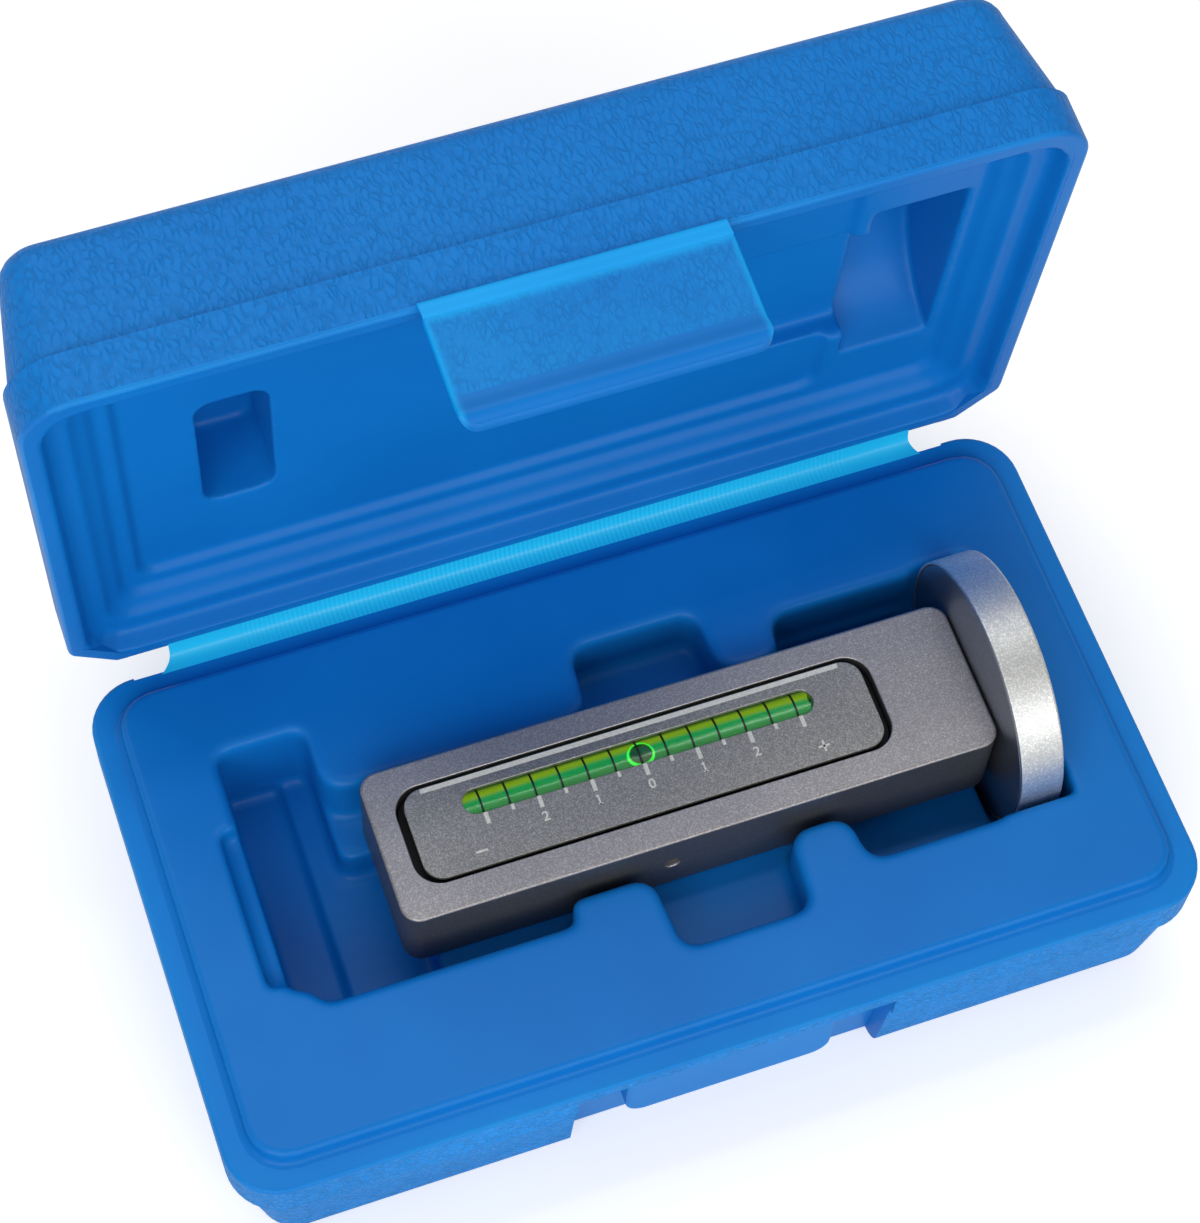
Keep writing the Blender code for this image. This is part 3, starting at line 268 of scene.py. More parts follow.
# Blown plastic skin: faint cloudy tone, slow waves and a fine orange peel
skin, skin_in, skin_out = new_group("blown_skin", {"Cloud Scale": 30.0}, ("Tone", "Height"))
place = object_place(skin)
peel = noise(skin, place, 900.0, 1.0)["Fac"]
waves = maths(skin, "MULTIPLY", noise(skin, place, 55.0, 1.0)["Fac"], 8.0)
skin.links.new(noise(skin, place, skin_in["Cloud Scale"], 4.0)["Fac"], skin_out["Tone"])
skin.links.new(maths(skin, "ADD", peel, waves), skin_out["Height"])


def use_group(tree, group, feeds=None):
    node = add_node(tree, "ShaderNodeGroup", node_tree=group)
    for label, value in (feeds or {}).items():
        node.inputs[label].default_value = value
    return node.outputs


def mix_colours(tree, factor, first, second):
    node = add_node(tree, "ShaderNodeMix", data_type="RGBA")
    colours = [socket for socket in node.inputs if socket.type == "RGBA"]
    for socket, tone in zip(colours, (first, second)):
        if isinstance(tone, bpy.types.NodeSocket):
            tree.links.new(tone, socket)
        else:
            socket.default_value = (*tone, 1)
    tree.links.new(factor, node.inputs["Factor"])
    return next(socket for socket in node.outputs if socket.type == "RGBA")


def paint(look, factor, first, second, part="Base Color"):
    """Feeds a colour of a look with a mix of two."""
    tree = look.node_tree
    tree.links.new(mix_colours(tree, factor, first, second), shader_of(look).inputs[part])


def raise_surface(look, height, strength, distance):
    tree = look.node_tree
    bump = made(tree, "ShaderNodeBump", {"Height": height, "Strength": strength, "Distance": distance})
    tree.links.new(bump.outputs["Normal"], shader_of(look).inputs["Normal"])


def plastic_look(name, deep, pale, roughness, relief=0.0, cell_scale=0.0):
    """Polyethylene: satin and faintly cloudy, grained with painted shade in its creases or, without cells,
    smooth.
    """
    look = new_look(name, deep, roughness)
    tree = look.node_tree
    surface = shader_of(look)
    surface.inputs["Specular IOR Level"].default_value = 0.12 if cell_scale else 0.15
    skin_puts = use_group(tree, skin)
    colour = mix_colours(tree, ranged(tree, skin_puts["Tone"], 0.3, 0.7), deep, pale)
    if cell_scale:
        grain_puts = use_group(tree, grain, {"Cell Scale": cell_scale})
        # Painted shade: the grain's creases are darkened towards 0.6 of the deep tone.
        shade = maths(tree, "MULTIPLY", grain_puts["Crease"], 0.4)
        colour = mix_colours(tree, shade, colour, tuple(part * 0.6 for part in deep))
        raise_surface(look, grain_puts["Height"], 0.5, relief)
    else:
        raise_surface(look, skin_puts["Height"], 0.25, 0.012 * mm)
    tree.links.new(colour, surface.inputs["Base Color"])
    return look


# The rim's outermost edge is painted a paler blue: a painted highlight.
rim_highlight_blue = plastic_look("rim_edge_painted_highlight", case_blue_pale, edge_blue, 0.34)
# Painted light: the base's outer wall takes brighter copies of the grained and smooth case blue.
base_lit_grained_blue = plastic_look("base_lit_grained_blue", foot_blue_pale, foot_blue_bright, 0.44,
                                 1.0 * mm, 820.0)
base_lit_smooth_blue = plastic_look("base_lit_smooth_blue", foot_blue, foot_blue_pale, 0.40)


def rectangle(left, right, front, back, radius):
    return [(left, front, radius), (right, front, radius), (right, back, radius), (left, back, radius)]


case_outline = rectangle(-half_x, half_x, -half_y, half_y, case_corner)


def face_outward(shape):
    bmesh.ops.recalc_face_normals(shape, faces=shape.faces)


def loft(corners, levels, steps=10):
    """A solid from a level outline of (x, y, radius) corners, taken through (height, inset)
    levels. A third figure in a level is the extra inset at its two ends."""
    shape = bmesh.new()
    points = [shape.verts.new((x, y, levels[0][0])) for x, y, radius in corners]
    shape.faces.new(points)
    for number, (x, y, radius) in enumerate(corners):
        coming = Vector((x, y)) - Vector(corners[number - 1][:2])
        going = Vector(corners[(number + 1) % len(corners)][:2]) - Vector((x, y))
        if radius > 0:
            bmesh.ops.bevel(shape, geom=[points[number]],
                            offset=radius * math.tan(coming.angle(going) / 2), offset_type="OFFSET",
                            segments=steps, profile=0.5, affect="VERTICES", material=-1)
    face = shape.faces[:][0]
    height, inset, ends = levels[0][0], 0.0, 0.0
    for level in levels:
        face.normal_update()
        bmesh.ops.inset_region(shape, faces=[face], thickness=level[1] - inset,
                               depth=level[0] - height, use_even_offset=True, use_boundary=True)
        extra = level[2] if len(level) > 2 else ends
        reach = max(point.co.x for point in face.verts)
        bmesh.ops.scale(shape, vec=((reach - extra + ends) / reach, 1, 1), verts=face.verts)
        if level is levels[0]:
            bmesh.ops.delete(shape, geom=[ring for ring in shape.faces if ring != face], context="FACES")
        height, inset, ends = level[0], level[1], extra
    bmesh.ops.holes_fill(shape, edges=[edge for edge in shape.edges if edge.is_boundary])
    face_outward(shape)
    return shape


def rounding(height, radius, inset=0.0, steps=5, ends=0.0):
    """Levels that turn an upright wall over to a level face at the given height; a negative
    radius turns it the other way up."""
    levels = []
    for step in range(steps + 1):
        angle = math.radians(90) * step / steps
        levels.append((height - radius * (1 - math.sin(angle)),
                       inset + abs(radius) * (1 - math.cos(angle)), ends))
    return levels


def case_block(rim, way, depth, skin):
    """Half a case as a solid from its rim to its flat back. A skin above nought gives the
    hollow inside a wall of that thickness."""
    drafted = depth - foot_round - band_height
    side = band_step + drafted * math.tan(side_draft)
    end = drafted * (math.tan(end_draft) - math.tan(side_draft))
    if skin:
        levels = [(rim + way * skin, skin)]
    else:
        levels = [(rim + way * height, inset) for height, inset, ends in rounding(0, -rim_round)[::-1]]
    levels += [(rim + way * (band_height - skin), skin),
               (rim + way * (band_height + band_step * 0.25 - skin), skin + band_step * 0.85),
               (rim + way * (band_height + band_step - skin), skin + band_step, 0)]
    levels += [(rim + way * height, inset, ends) for height, inset, ends
               in rounding(depth - skin, foot_round - skin, side + skin, 6, end)]
    return loft(case_outline, levels)


def mouth(inset, start, end):
    """A block that opens the wall inside the rim."""
    return put("mouth", loft(case_outline, [(start, inset), (end, inset)]))


def bar_along_x(profile, left, right):
    """A straight bar of a (y, z) profile."""
    shape = bmesh.new()
    face = shape.faces.new([shape.verts.new((left, y, z)) for y, z in profile])
    grown = bmesh.ops.extrude_face_region(shape, geom=[face])["geom"]
    bmesh.ops.translate(shape, vec=(right - left, 0, 0),
                        verts=[part for part in grown if isinstance(part, bmesh.types.BMVert)])
    face_outward(shape)
    return shape


def stand_up(shape):
    """Turns a shape that was lofted upwards, so that its top faces the front."""
    bmesh.ops.rotate(shape, cent=(0, 0, 0), matrix=Matrix.Rotation(math.radians(90), 3, "X"),
                     verts=shape.verts)


def keep_shape(piece):
    """Takes what a piece's modifiers make as its mesh."""
    view = bpy.context.evaluated_depsgraph_get()
    data = bpy.data.meshes.new_from_object(piece.evaluated_get(view))
    piece.modifiers.clear()
    piece.data = data
    data.name = piece.name


def work(piece, operation, *guides):
    """Cuts guides out of a piece, or joins them on."""
    for guide in guides:
        step = piece.modifiers.new("work", "BOOLEAN")
        step.operation = operation
        step.object = guide
        keep_shape(piece)
        bpy.data.objects.remove(guide)


def smooth(piece, degrees=35):
    """Rounds the shading over small edges and keeps flat faces flat."""
    piece.data.shade_smooth()
    piece.data.set_sharp_from_angle(angle=math.radians(degrees))
    level = piece.modifiers.new("level", "WEIGHTED_NORMAL")
    level.keep_sharp = True


def finish_case_wall(piece, rim, way, grained, plain):
    """Grain on the outside of the wall, a painted highlight in a paler blue along the rim's outer edge and
    smooth plastic elsewhere.
    """
    for look in (grained, plain, rim_highlight_blue):
        piece.data.materials.append(look)
    for face in piece.data.polygons:
        spot = face.center
        out = (spot.z - rim) * way
        front_channel = (spot.y < -half_y + recess_depth + wall and way < 0 and out > recess_lip - wall / 4
                         and recess_left - wall / 4 < spot.x < recess_right + wall / 4
                         and (spot.y > -half_y + catch_setback / 2 or face.normal.y > -0.5))
        if out < rim_round * 1.2:
            outermost = max(abs(spot.x) - half_x, abs(spot.y) - half_y) > -rim_round * 1.3
            face.material_index = 2 if outermost else 1
        elif front_channel:
            face.material_index = 1
        else:
            face.material_index = 0


def channel_profile(backing):
    lip = rim_height - recess_lip + backing
    top = recess_depth - half_y + backing
    foot = top + band_step + lip * math.tan(side_draft)
    front = -half_y - recess_overrun
    return [(front, lip), (front, -recess_overrun), (foot, -recess_overrun), (top, lip)]


base_outer = put("case_base_outer", case_block(rim_height + land_proud, -1, rim_height, 0))
work(base_outer, "DIFFERENCE",
     put("channel", bar_along_x(channel_profile(0), recess_left, recess_right)))
catch_front = half_y - catch_setback
catch_shape = loft([(catch_left, catch_foot, catch_corner), (catch_right, catch_foot, catch_corner),
                    (catch_right, rim_height - recess_lip + wall / 2, 0),
                    (catch_left, rim_height - recess_lip + wall / 2, 0)],
                   [(catch_front - recess_depth - wall * 2, 0)] + rounding(catch_front, catch_round))
stand_up(catch_shape)
work(base_outer, "UNION", put("catch", catch_shape))
hollow = put("hollow", case_block(rim_height, -1, rim_height, wall))
work(hollow, "DIFFERENCE", put("backing", bar_along_x(channel_profile(wall), recess_left - wall,
                                                    recess_right + wall)))
work(base_outer, "DIFFERENCE", hollow, mouth(land_inset, rim_height + wall, rim_height - wall * 2))


def rear_notch(low, high):
    """The long shallow step in the back edge where the living hinge leaves the rim."""
    return put("rear_notch", bar_along_x([(half_y - rear_notch_depth, low), (half_y + mm, low),
                                          (half_y + mm, high), (half_y - rear_notch_depth, high)],
                                         rear_notch_left, rear_notch_right))


work(base_outer, "DIFFERENCE", rear_notch(rim_height - rear_notch_height, rim_height + mm))
finish_case_wall(base_outer, rim_height, -1, base_lit_grained_blue, base_lit_smooth_blue)
smooth(base_outer)
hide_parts("base_outer_wall")
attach(base_outer, "case_base")

# Base, inner wall
# The inner wall of the same blow moulding: a smooth raised tray with soft-edged recesses for the
# bar, the magnet and the fingers. Its skin is tucked under the rim of the outer wall.
tray_tuck = 3 * mm
blown_voxel = 0.45 * mm
blown_passes = 4
tray_passes = 28
kept_share = 0.32
recess_zone_x = 81 * mm
recess_zone_y = 38 * mm
slot_left = -71.9 * mm
slot_middle = -65 * mm
slot_right = -58.7 * mm
slot_front = -17.2 * mm
slot_rear = 20 * mm
slot_back = 30.7 * mm
slot_floor = 16.05 * mm
slot_foot = 14.0 * mm
slot_raise = 1.8 * mm
slot_widening = 1.15 * mm
disc_slot_left = 57.5 * mm
disc_slot_left_move = 4.9 * mm
disc_slot_right = 75.7 * mm
disc_slot_right_move = -1.6 * mm
disc_slot_half = 30 * mm
hair = 0.06 * mm
case_blue = (0.003, 0.148, 0.505)
smooth_blue = plastic_look("case_smooth_blue", case_blue, case_blue_pale, 0.34)


def soft_copy(name, node, shut, reshape, deep, deep_passes):
    """A part of the fixed frame, reshaped as if shut, with all its edges softened, and those of
    its deep recesses softened more."""
    shape = bmesh.new()
    shape.from_mesh(frame["nodes"][node].data)
    bmesh.ops.remove_doubles(shape, verts=shape.verts, dist=0.001 * mm)
    bmesh.ops.rotate(shape, cent=hinge_axis, matrix=shut, verts=shape.verts)
    for point in shape.verts:
        reshape(point.co)
    bmesh.ops.rotate(shape, cent=hinge_axis, matrix=shut.inverted(), verts=shape.verts)
    piece = put(name, shape)
    fine = piece.modifiers.new("fine", "REMESH")
    fine.mode = "VOXEL"
    fine.voxel_size = blown_voxel
    keep_shape(piece)
    recesses = piece.vertex_groups.new(name="recesses")
    recesses.add([point.index for point in piece.data.vertices
                  if deep(shut @ (point.co - hinge_axis) + hinge_axis)], 1.0, "REPLACE")
    for passes, group in ((blown_passes, ""), (deep_passes, "recesses")):
        soft = piece.modifiers.new("soft", "SMOOTH")
        soft.factor = 0.5
        soft.iterations = passes
        soft.vertex_group = group
    fewer = piece.modifiers.new("fewer", "DECIMATE")
    fewer.ratio = kept_share
    keep_shape(piece)
    piece.vertex_groups.clear()
    piece.data.shade_smooth()
    piece.data.materials.append(smooth_blue)
    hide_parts(node)
    return piece


def reshape_tray(spot):
    """Tucks the rim in, makes the left slot wider and shallower and the slot of the magnet
    narrower."""
    spot.x = max(tray_tuck - half_x, min(half_x - tray_tuck, spot.x))
    spot.y = max(tray_tuck - half_y, min(half_y - tray_tuck, spot.y))
    if slot_left < spot.x < slot_right and slot_front < spot.y < slot_back and spot.z < slot_floor:
        if spot.x < slot_middle:
            spot.x -= slot_widening
        if spot.y > slot_rear:
            spot.y += slot_widening
        if spot.z < slot_foot:
            spot.z += slot_raise
    for face_x, back_x, move in ((disc_slot_left, disc_slot_left - wall, disc_slot_left_move),
                                 (disc_slot_right, disc_slot_right + wall, disc_slot_right_move)):
        if min(abs(spot.x - face_x), abs(spot.x - back_x)) < hair and abs(spot.y) < disc_slot_half:
            spot.x += move
            break


lid_hinge = next(joint for joint in frame["joints"] if joint["name"] == "lid_hinge")
hinge_axis = Vector(lid_hinge["pos_m"])
tray = soft_copy("case_base_tray", "base_inner_tray", Matrix.Identity(3), reshape_tray,
                 lambda spot: abs(spot.x) < recess_zone_x and abs(spot.y) < recess_zone_y, tray_passes)
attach(tray, "case_base")

# Lid, outer wall
# The upper half of the case: the same grained wall with its band and smooth rim, its two rear
# corners cut off straight. It is shaped shut, then turned up about the hinge.
lid_rim = 33.3 * mm
lid_depth = 32.85 * mm
lid_land_inset = 2.6 * mm
lid_corner_cut = 9.0 * mm
wedge_size = 40 * mm
lid_blue_pale = (0.006, 0.186, 0.580)
grained_blue = plastic_look("case_grained_blue", case_blue_pale, lid_blue_pale, 0.40, 0.26 * mm, 820.0)


def corner_wedge(side, inset):
    """A block that takes off a rear corner of the lid; it stands back by the inset."""
    shape = bmesh.new()
    bmesh.ops.create_cube(shape, size=wedge_size)
    bmesh.ops.scale(shape, vec=(1, 1, 2), verts=shape.verts)
    bmesh.ops.translate(shape, vec=(wedge_size / 2, 0, 0), verts=shape.verts)
    bmesh.ops.rotate(shape, cent=(0, 0, 0), matrix=Matrix.Rotation(math.radians(90 - side * 45), 3, "Z"),
                     verts=shape.verts)
    reach = lid_corner_cut / 2 + inset * math.sqrt(0.5)
    bmesh.ops.translate(shape, vec=(side * (half_x - reach), half_y - reach, lid_rim + lid_depth / 2),
                        verts=shape.verts)
    return put("corner_wedge", shape)


open_turn = Matrix.Rotation(-math.radians(lid_hinge["range_deg"][1]), 3, "X")
lid_outer = put("lid_outer", case_block(lid_rim - land_proud, 1, lid_depth, 0))
work(lid_outer, "DIFFERENCE", corner_wedge(-1, 0), corner_wedge(1, 0),
     rear_notch(lid_rim - mm, lid_rim + rear_notch_height))
lid_hollow = put("hollow", case_block(lid_rim, 1, lid_depth, wall))
lid_mouth = mouth(lid_land_inset, lid_rim - wall, lid_rim + wall * 2)
for hollow_part, inset in ((lid_hollow, wall), (lid_mouth, lid_land_inset)):
    work(hollow_part, "DIFFERENCE", corner_wedge(-1, inset), corner_wedge(1, inset))
work(lid_outer, "DIFFERENCE", lid_hollow, lid_mouth)
lid_lift = Matrix.Translation(hinge_axis) @ open_turn.to_4x4() @ Matrix.Translation(-hinge_axis)
finish_case_wall(lid_outer, lid_rim, 1, grained_blue, smooth_blue)
lid_outer.data.transform(lid_lift)
smooth(lid_outer)
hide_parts("lid_outer_wall")
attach(lid_outer, "lid")

# Lid, inner wall
# The smooth stepped inside of the lid, blown in one with its outer wall. It has a round recess
# over the magnet, a channel over the bar and a deep pocket at the left.
lid_tuck = 2.0 * mm
lid_panel_height = 10.5 * mm
lid_passes = 14
lid_disc_left = 53 * mm
lid_disc_right = 77 * mm
lid_disc_half = 28 * mm


def reshape_lid(spot):
    """Tucks the rim in, at the cut corners too."""
    spot.x = max(lid_tuck - half_x, min(half_x - lid_tuck, spot.x))
    spot.y = max(lid_tuck - half_y, min(half_y - lid_tuck, spot.y))
    excess = abs(spot.x) + spot.y - (half_x + half_y - lid_corner_cut - lid_tuck * math.sqrt(2))
    if excess > 0:
        spot.x -= math.copysign(excess / 2, spot.x)
        spot.y -= excess / 2


def in_lid_recess(spot):
    by_the_disc = lid_disc_left < spot.x < lid_disc_right and abs(spot.y) < lid_disc_half
    return by_the_disc or spot.z > lid_rim + lid_panel_height


lid_inner = soft_copy("lid_inner", "lid_inner_wall", open_turn.inverted(), reshape_lid, in_lid_recess,
                      lid_passes)
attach(lid_inner, "lid")

# Living hinge of the lid
# A thin folded strip of the same plastic, which looks bright and clear where it is pressed thin;
# here that brightness is a painted glow, with painted light and shade along its ribs. It runs
# from rim to rim, ribbed but for its ends; the real strip bends as the lid closes, this one keeps one
# shape.
web_half = 73.3 * mm
web_left_flare = 2.6 * mm
web_right_flare = 1.3 * mm
web_thickness = 0.6 * mm
web_path = [(50.3, 32.75), (50.9, 32.72), (51.5, 32.72), (52.1, 32.78), (52.7, 32.92), (53.2, 33.15),
            (53.6, 33.5), (53.9, 34.0), (54.1, 34.6), (54.2, 35.3), (54.25, 36.0), (54.3, 36.7)]
rib_pitch = 0.9 * mm
ribbed_half = 60 * mm


def strip(name, path, half_length, left_flare, right_flare, thickness, look, across=64):
    """A thin strip that follows a (y, z) path in millimetres. Its ends flare out towards the
    path's start."""
    shape = bmesh.new()
    steps = len(path) - 1
    bmesh.ops.create_grid(shape, x_segments=across, y_segments=steps * 2, size=1)
    for point in shape.verts:
        share = (point.co.y + 1) / 2
        step = min(int(share * steps), steps - 1)
        y, z = (Vector(path[step]) * mm).lerp(Vector(path[step + 1]) * mm, share * steps - step)
        flare = (left_flare if point.co.x < 0 else right_flare) * max(0, 1 - share * 1.5) ** 2
        point.co = (point.co.x * (half_length + flare), y, z)
    face_outward(shape)
    piece = put(name, shape)
    thick = piece.modifiers.new("thick", "SOLIDIFY")
    thick.thickness = thickness
    thick.offset = 0
    keep_shape(piece)
    piece.data.shade_smooth()
    piece.data.set_sharp_from_angle(angle=math.radians(50))
    piece.data.materials.append(look)
    return piece


def glow(look, colour, strength):
    """Paints a glow into a look: emission that stands in for light coming through thin plastic."""
    shader_of(look).inputs["Emission Color"].default_value = (*colour, 1)
    shader_of(look).inputs["Emission Strength"].default_value = strength


# The strip is painted a brighter cyan than the case and given a painted glow: painted light through the
# thin plastic.
web_blue = new_look("hinge_web_blue", (0.008, 0.400, 0.780), 0.4)
tree = web_blue.node_tree
along = made(tree, "ShaderNodeSeparateXYZ", {0: object_place(tree)}).outputs["X"]
ribs = maths(tree, "SINE", maths(tree, "MULTIPLY", along, math.tau / rib_pitch))
inside = maths(tree, "LESS_THAN", maths(tree, "ABSOLUTE", along), ribbed_half)
ribbed = maths(tree, "MULTIPLY", ribs, inside)
# Painted light and shade of the ribs: the colour follows the rib waves, mixed with the cloudy tone.
rib_light_and_tone = maths(tree, "MULTIPLY", ribbed, use_group(tree, skin)["Tone"])
paint(web_blue, ranged(tree, rib_light_and_tone, -0.6, 0.6), (0.008, 0.38, 0.66), (0.014, 0.48, 0.76))
raise_surface(web_blue, ribbed, 0.12, 0.02 * mm)
glow(web_blue, (0.006, 0.36, 0.66), 0.22)
lid_web = strip("lid_hinge_web", web_path, web_half, web_left_flare, web_right_flare, web_thickness,
                web_blue)
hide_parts("base_hinge_leaf", "lid_hinge_leaf")
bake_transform(lid_web)

# Latch flap and its living hinge
# A grained flap of the same plastic with a smooth, swollen lip and a hook behind it, hanging on a
# thin strip at the lid's front rim; the strip and the flap near its fold and sides carry painted
# light and a painted glow. Shut, its hook snaps under the catch.
flap_half = 26 * mm
flap_front = -53.25 * mm
flap_back = -51.75 * mm
flap_top = 30.9 * mm
flap_foot = 10.15 * mm
flap_corner = 3 * mm
flap_edge = 0.5 * mm
lip_height = 6 * mm
lip_swell = 0.9 * mm
lip_tuck = 0.35 * mm
flap_rows = 28
fold_fade = 2.6 * mm
side_fade = 1.6 * mm
hook_half = 17 * mm
flap_web_half = 25.9 * mm
flap_web_path = [(-51.2, 33.9), (-51.7, 33.88), (-52.1, 33.75), (-52.4, 33.45), (-52.52, 33.0),
                 (-52.6, 32.4), (-52.74, 31.8), (-52.88, 31.2), (-52.95, 30.5)]
flap_shape = loft([(-flap_half, flap_foot, flap_corner), (flap_half, flap_foot, flap_corner),
                   (flap_half, flap_top, flap_edge), (-flap_half, flap_top, flap_edge)],
                  [(-flap_back, 0)] + rounding(-flap_front, flap_edge))
stand_up(flap_shape)


def cut_level(shape, height, keep_above=False):
    """Cuts all round a shape at a height; it may take off what lies below."""
    bmesh.ops.bisect_plane(shape, geom=shape.verts[:] + shape.edges[:] + shape.faces[:],
                           plane_co=(0, 0, height), plane_no=(0, 0, -1 if keep_above else 1),
                           dist=0.001 * mm, clear_outer=keep_above)


for row in range(1, flap_rows):
    height = flap_foot + (flap_top - flap_foot) * row / flap_rows
    cut_level(flap_shape, height)


def lip_shift(row):
    """How far the flap is pushed back at one of the cuts across it."""
    share = max(0, 1 - (flap_top - flap_foot) * row / flap_rows / lip_height)
    return lip_tuck * share ** 4 - lip_swell * math.sin(math.pi * share ** 1.3) ** 2


for point in flap_shape.verts:
    row, part = divmod((point.co.z - flap_foot) / (flap_top - flap_foot) * flap_rows, 1)
    point.co.y += lip_shift(row) * (1 - part) + lip_shift(row + 1) * part
flap = put("latch_flap_outer", flap_shape)
hook_profile = [(-50.2, 13.95), (-50.2, 12.85), (-51.75, 11.75), (-53.1, 11.75), (-53.1, 13.95)]
work(flap, "UNION", put("hook", bar_along_x([(y * mm, z * mm) for y, z in hook_profile],
                                            -hook_half, hook_half)))
flap_grain = plastic_look("flap_grained_blue", case_blue_pale, edge_blue, 0.42, 0.06 * mm, 1050.0)
flap_smooth = plastic_look("flap_smooth_blue", case_blue, case_blue_pale, 0.34)
flap.data.materials.append(flap_grain)
flap.data.materials.append(flap_smooth)
for face in flap.data.polygons:
    grained = face.normal.y < -0.9 and face.center.z > flap_foot + lip_height
    face.material_index = 0 if grained else 1
flap.data.transform(lid_lift)
smooth(flap)
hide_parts("latch_flap")
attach(flap, "latch")

# The latch strip is painted a bright blue with a painted glow: painted light through the thin plastic.
latch_web_blue = plastic_look("latch_web_blue", (0.003, 0.28, 0.70), (0.005, 0.33, 0.77), 0.35)
glow(latch_web_blue, (0.003, 0.22, 0.62), 0.15)
fold_point = lid_lift @ Vector((0, -52.5 * mm, flap_top + 0.3 * mm))
hang_way = open_turn @ Vector((0, 0, -1))


def paint_thin_part_glow(look):
    """Paints light into a flap look: a paler colour and a painted glow near the fold and the two sides,
    standing in for light through the thin plastic there.
    """
    tree = look.node_tree
    surface = shader_of(look)
    place = object_place(tree)
    drop = vector_maths(tree, "DOT_PRODUCT", vector_maths(tree, "SUBTRACT", place, fold_point), hang_way)
    near_fold = ranged(tree, drop, 0, fold_fade, 0.9, 0.0, soft=True)
    reach = maths(tree, "ABSOLUTE", made(tree, "ShaderNodeSeparateXYZ", {0: place}).outputs["X"])
    near_side = ranged(tree, reach, flap_half - side_fade, flap_half, 0.0, 0.7, soft=True)
    thin = maths(tree, "MAXIMUM", near_fold, near_side)
    plain = surface.inputs["Base Color"].links[0].from_socket
    paint(look, thin, plain, (0.004, 0.35, 0.77))
    paint(look, thin, (0, 0, 0), (0.003, 0.22, 0.62), "Emission Color")
    surface.inputs["Emission Strength"].default_value = 0.15


paint_thin_part_glow(flap_grain)
paint_thin_part_glow(flap_smooth)
flap_web = strip("latch_hinge_web", flap_web_path, flap_web_half, 0, 0, web_thickness, latch_web_blue, 24)
flap_web.data.transform(lid_lift)
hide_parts("latch_hinge_leaf")
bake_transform(flap_web)

# Gauge bar
# The bar of the gauge, sawn from aluminium, milled flat, bead-blasted and anodised grey, with a
# round-ended pocket in its top for the vial and a set-screw hole in its front face.
bar_left, bar_right = -49.5 * mm, 63.3 * mm
bar_side = 15 * mm
bar_foot, bar_top = 24.1 * mm, 42.2 * mm
bar_corner = 3.5 * mm
bar_edge = 0.6 * mm
dial_x, dial_y = 0.4 * mm, 0.35 * mm
dial_half, dial_side = 45.2 * mm, 9.7 * mm
dial_corner = 5 * mm
dial_floor = 28.7 * mm
gauge_axis = 33.15 * mm
screw_hole = 1.5 * mm
screw_hole_depth = 10.15 * mm
bolt_bore = 2.7 * mm
bolt_bore_depth = 11.5 * mm
hole_edge = 0.2 * mm
flare = 1.15 * mm

# Bead-blasted metal: bright and dull specks and a very fine roughness
blast, blast_in, blast_out = new_group("blasted_metal", {"Speck Scale": 5200.0},
                                       ("Speck", "Cloud", "Height"))
place = object_place(blast)
specks = made(blast, "ShaderNodeTexVoronoi", {"Vector": place, "Scale": blast_in["Speck Scale"]})
loose = made(blast, "ShaderNodeSeparateColor", {"Color": specks.outputs["Color"]})
blast.links.new(loose.outputs[0], blast_out["Speck"])
blast.links.new(noise(blast, place, 60.0, 3.0)["Fac"], blast_out["Cloud"])
blast.links.new(noise(blast, place, 3200.0, 2.0)["Fac"], blast_out["Height"])


def metal_look(name, deep, pale, roughness, metallic, speck_scale=5200.0, relief=0.02 * mm):
    """Blasted metal: bright specks on a deep tone, with a gloss that varies like a cloud."""
    look = new_look(name, deep, roughness, metallic)
    tree = look.node_tree
    puts = use_group(tree, blast, {"Speck Scale": speck_scale})
    bright = maths(tree, "POWER", puts["Speck"], 2.2)
    paint(look, bright, deep, pale)
    tree.links.new(ranged(tree, puts["Cloud"], 0.3, 0.7, roughness - 0.04, roughness + 0.05),
                   shader_of(look).inputs["Roughness"])
    raise_surface(look, puts["Height"], 0.6, relief)
    return look


bar_grey = metal_look("anodised_bar_grey", (0.273, 0.262, 0.265), (0.46, 0.438, 0.438), 0.46, 0.7)
# Painted shade: the bar's sides are given a much darker grey than its top.
bar_side_shade_grey = metal_look("bar_side_painted_shade", (0.11, 0.115, 0.12), (0.17, 0.175, 0.18), 0.42, 0.7)


def turned(profile, centre, axis, steps=96):
    """A profile of (along, radius) points turned about an axis; closed where it has a bore."""
    shape = bmesh.new()
    axis = Vector(axis)
    out = Vector((0, 0, 1))
    points = [shape.verts.new(Vector(centre) + axis * along + out * radius)
              for along, radius in profile]
    edges = [shape.edges.new(pair) for pair in zip(points, points[1:])]
    if profile[0][1] > 0:
        edges.append(shape.edges.new((points[-1], points[0])))
    bmesh.ops.spin(shape, geom=points + edges, cent=centre, axis=axis, angle=math.tau, steps=steps,
                   use_merge=True)
    bmesh.ops.remove_doubles(shape, verts=shape.verts, dist=0.0005 * mm)
    face_outward(shape)
    return shape


bar = put("gauge_bar", loft(rectangle(bar_left, bar_right, -bar_side, bar_side, bar_corner),
                            rounding(bar_foot, -bar_edge)[::-1] + rounding(bar_top, bar_edge)))


def dial_rectangle(half, side, y, corner):
    """A level outline that lies lengthwise in the middle of the dial."""
    return rectangle(dial_x - half, dial_x + half, y - side, y + side, corner)


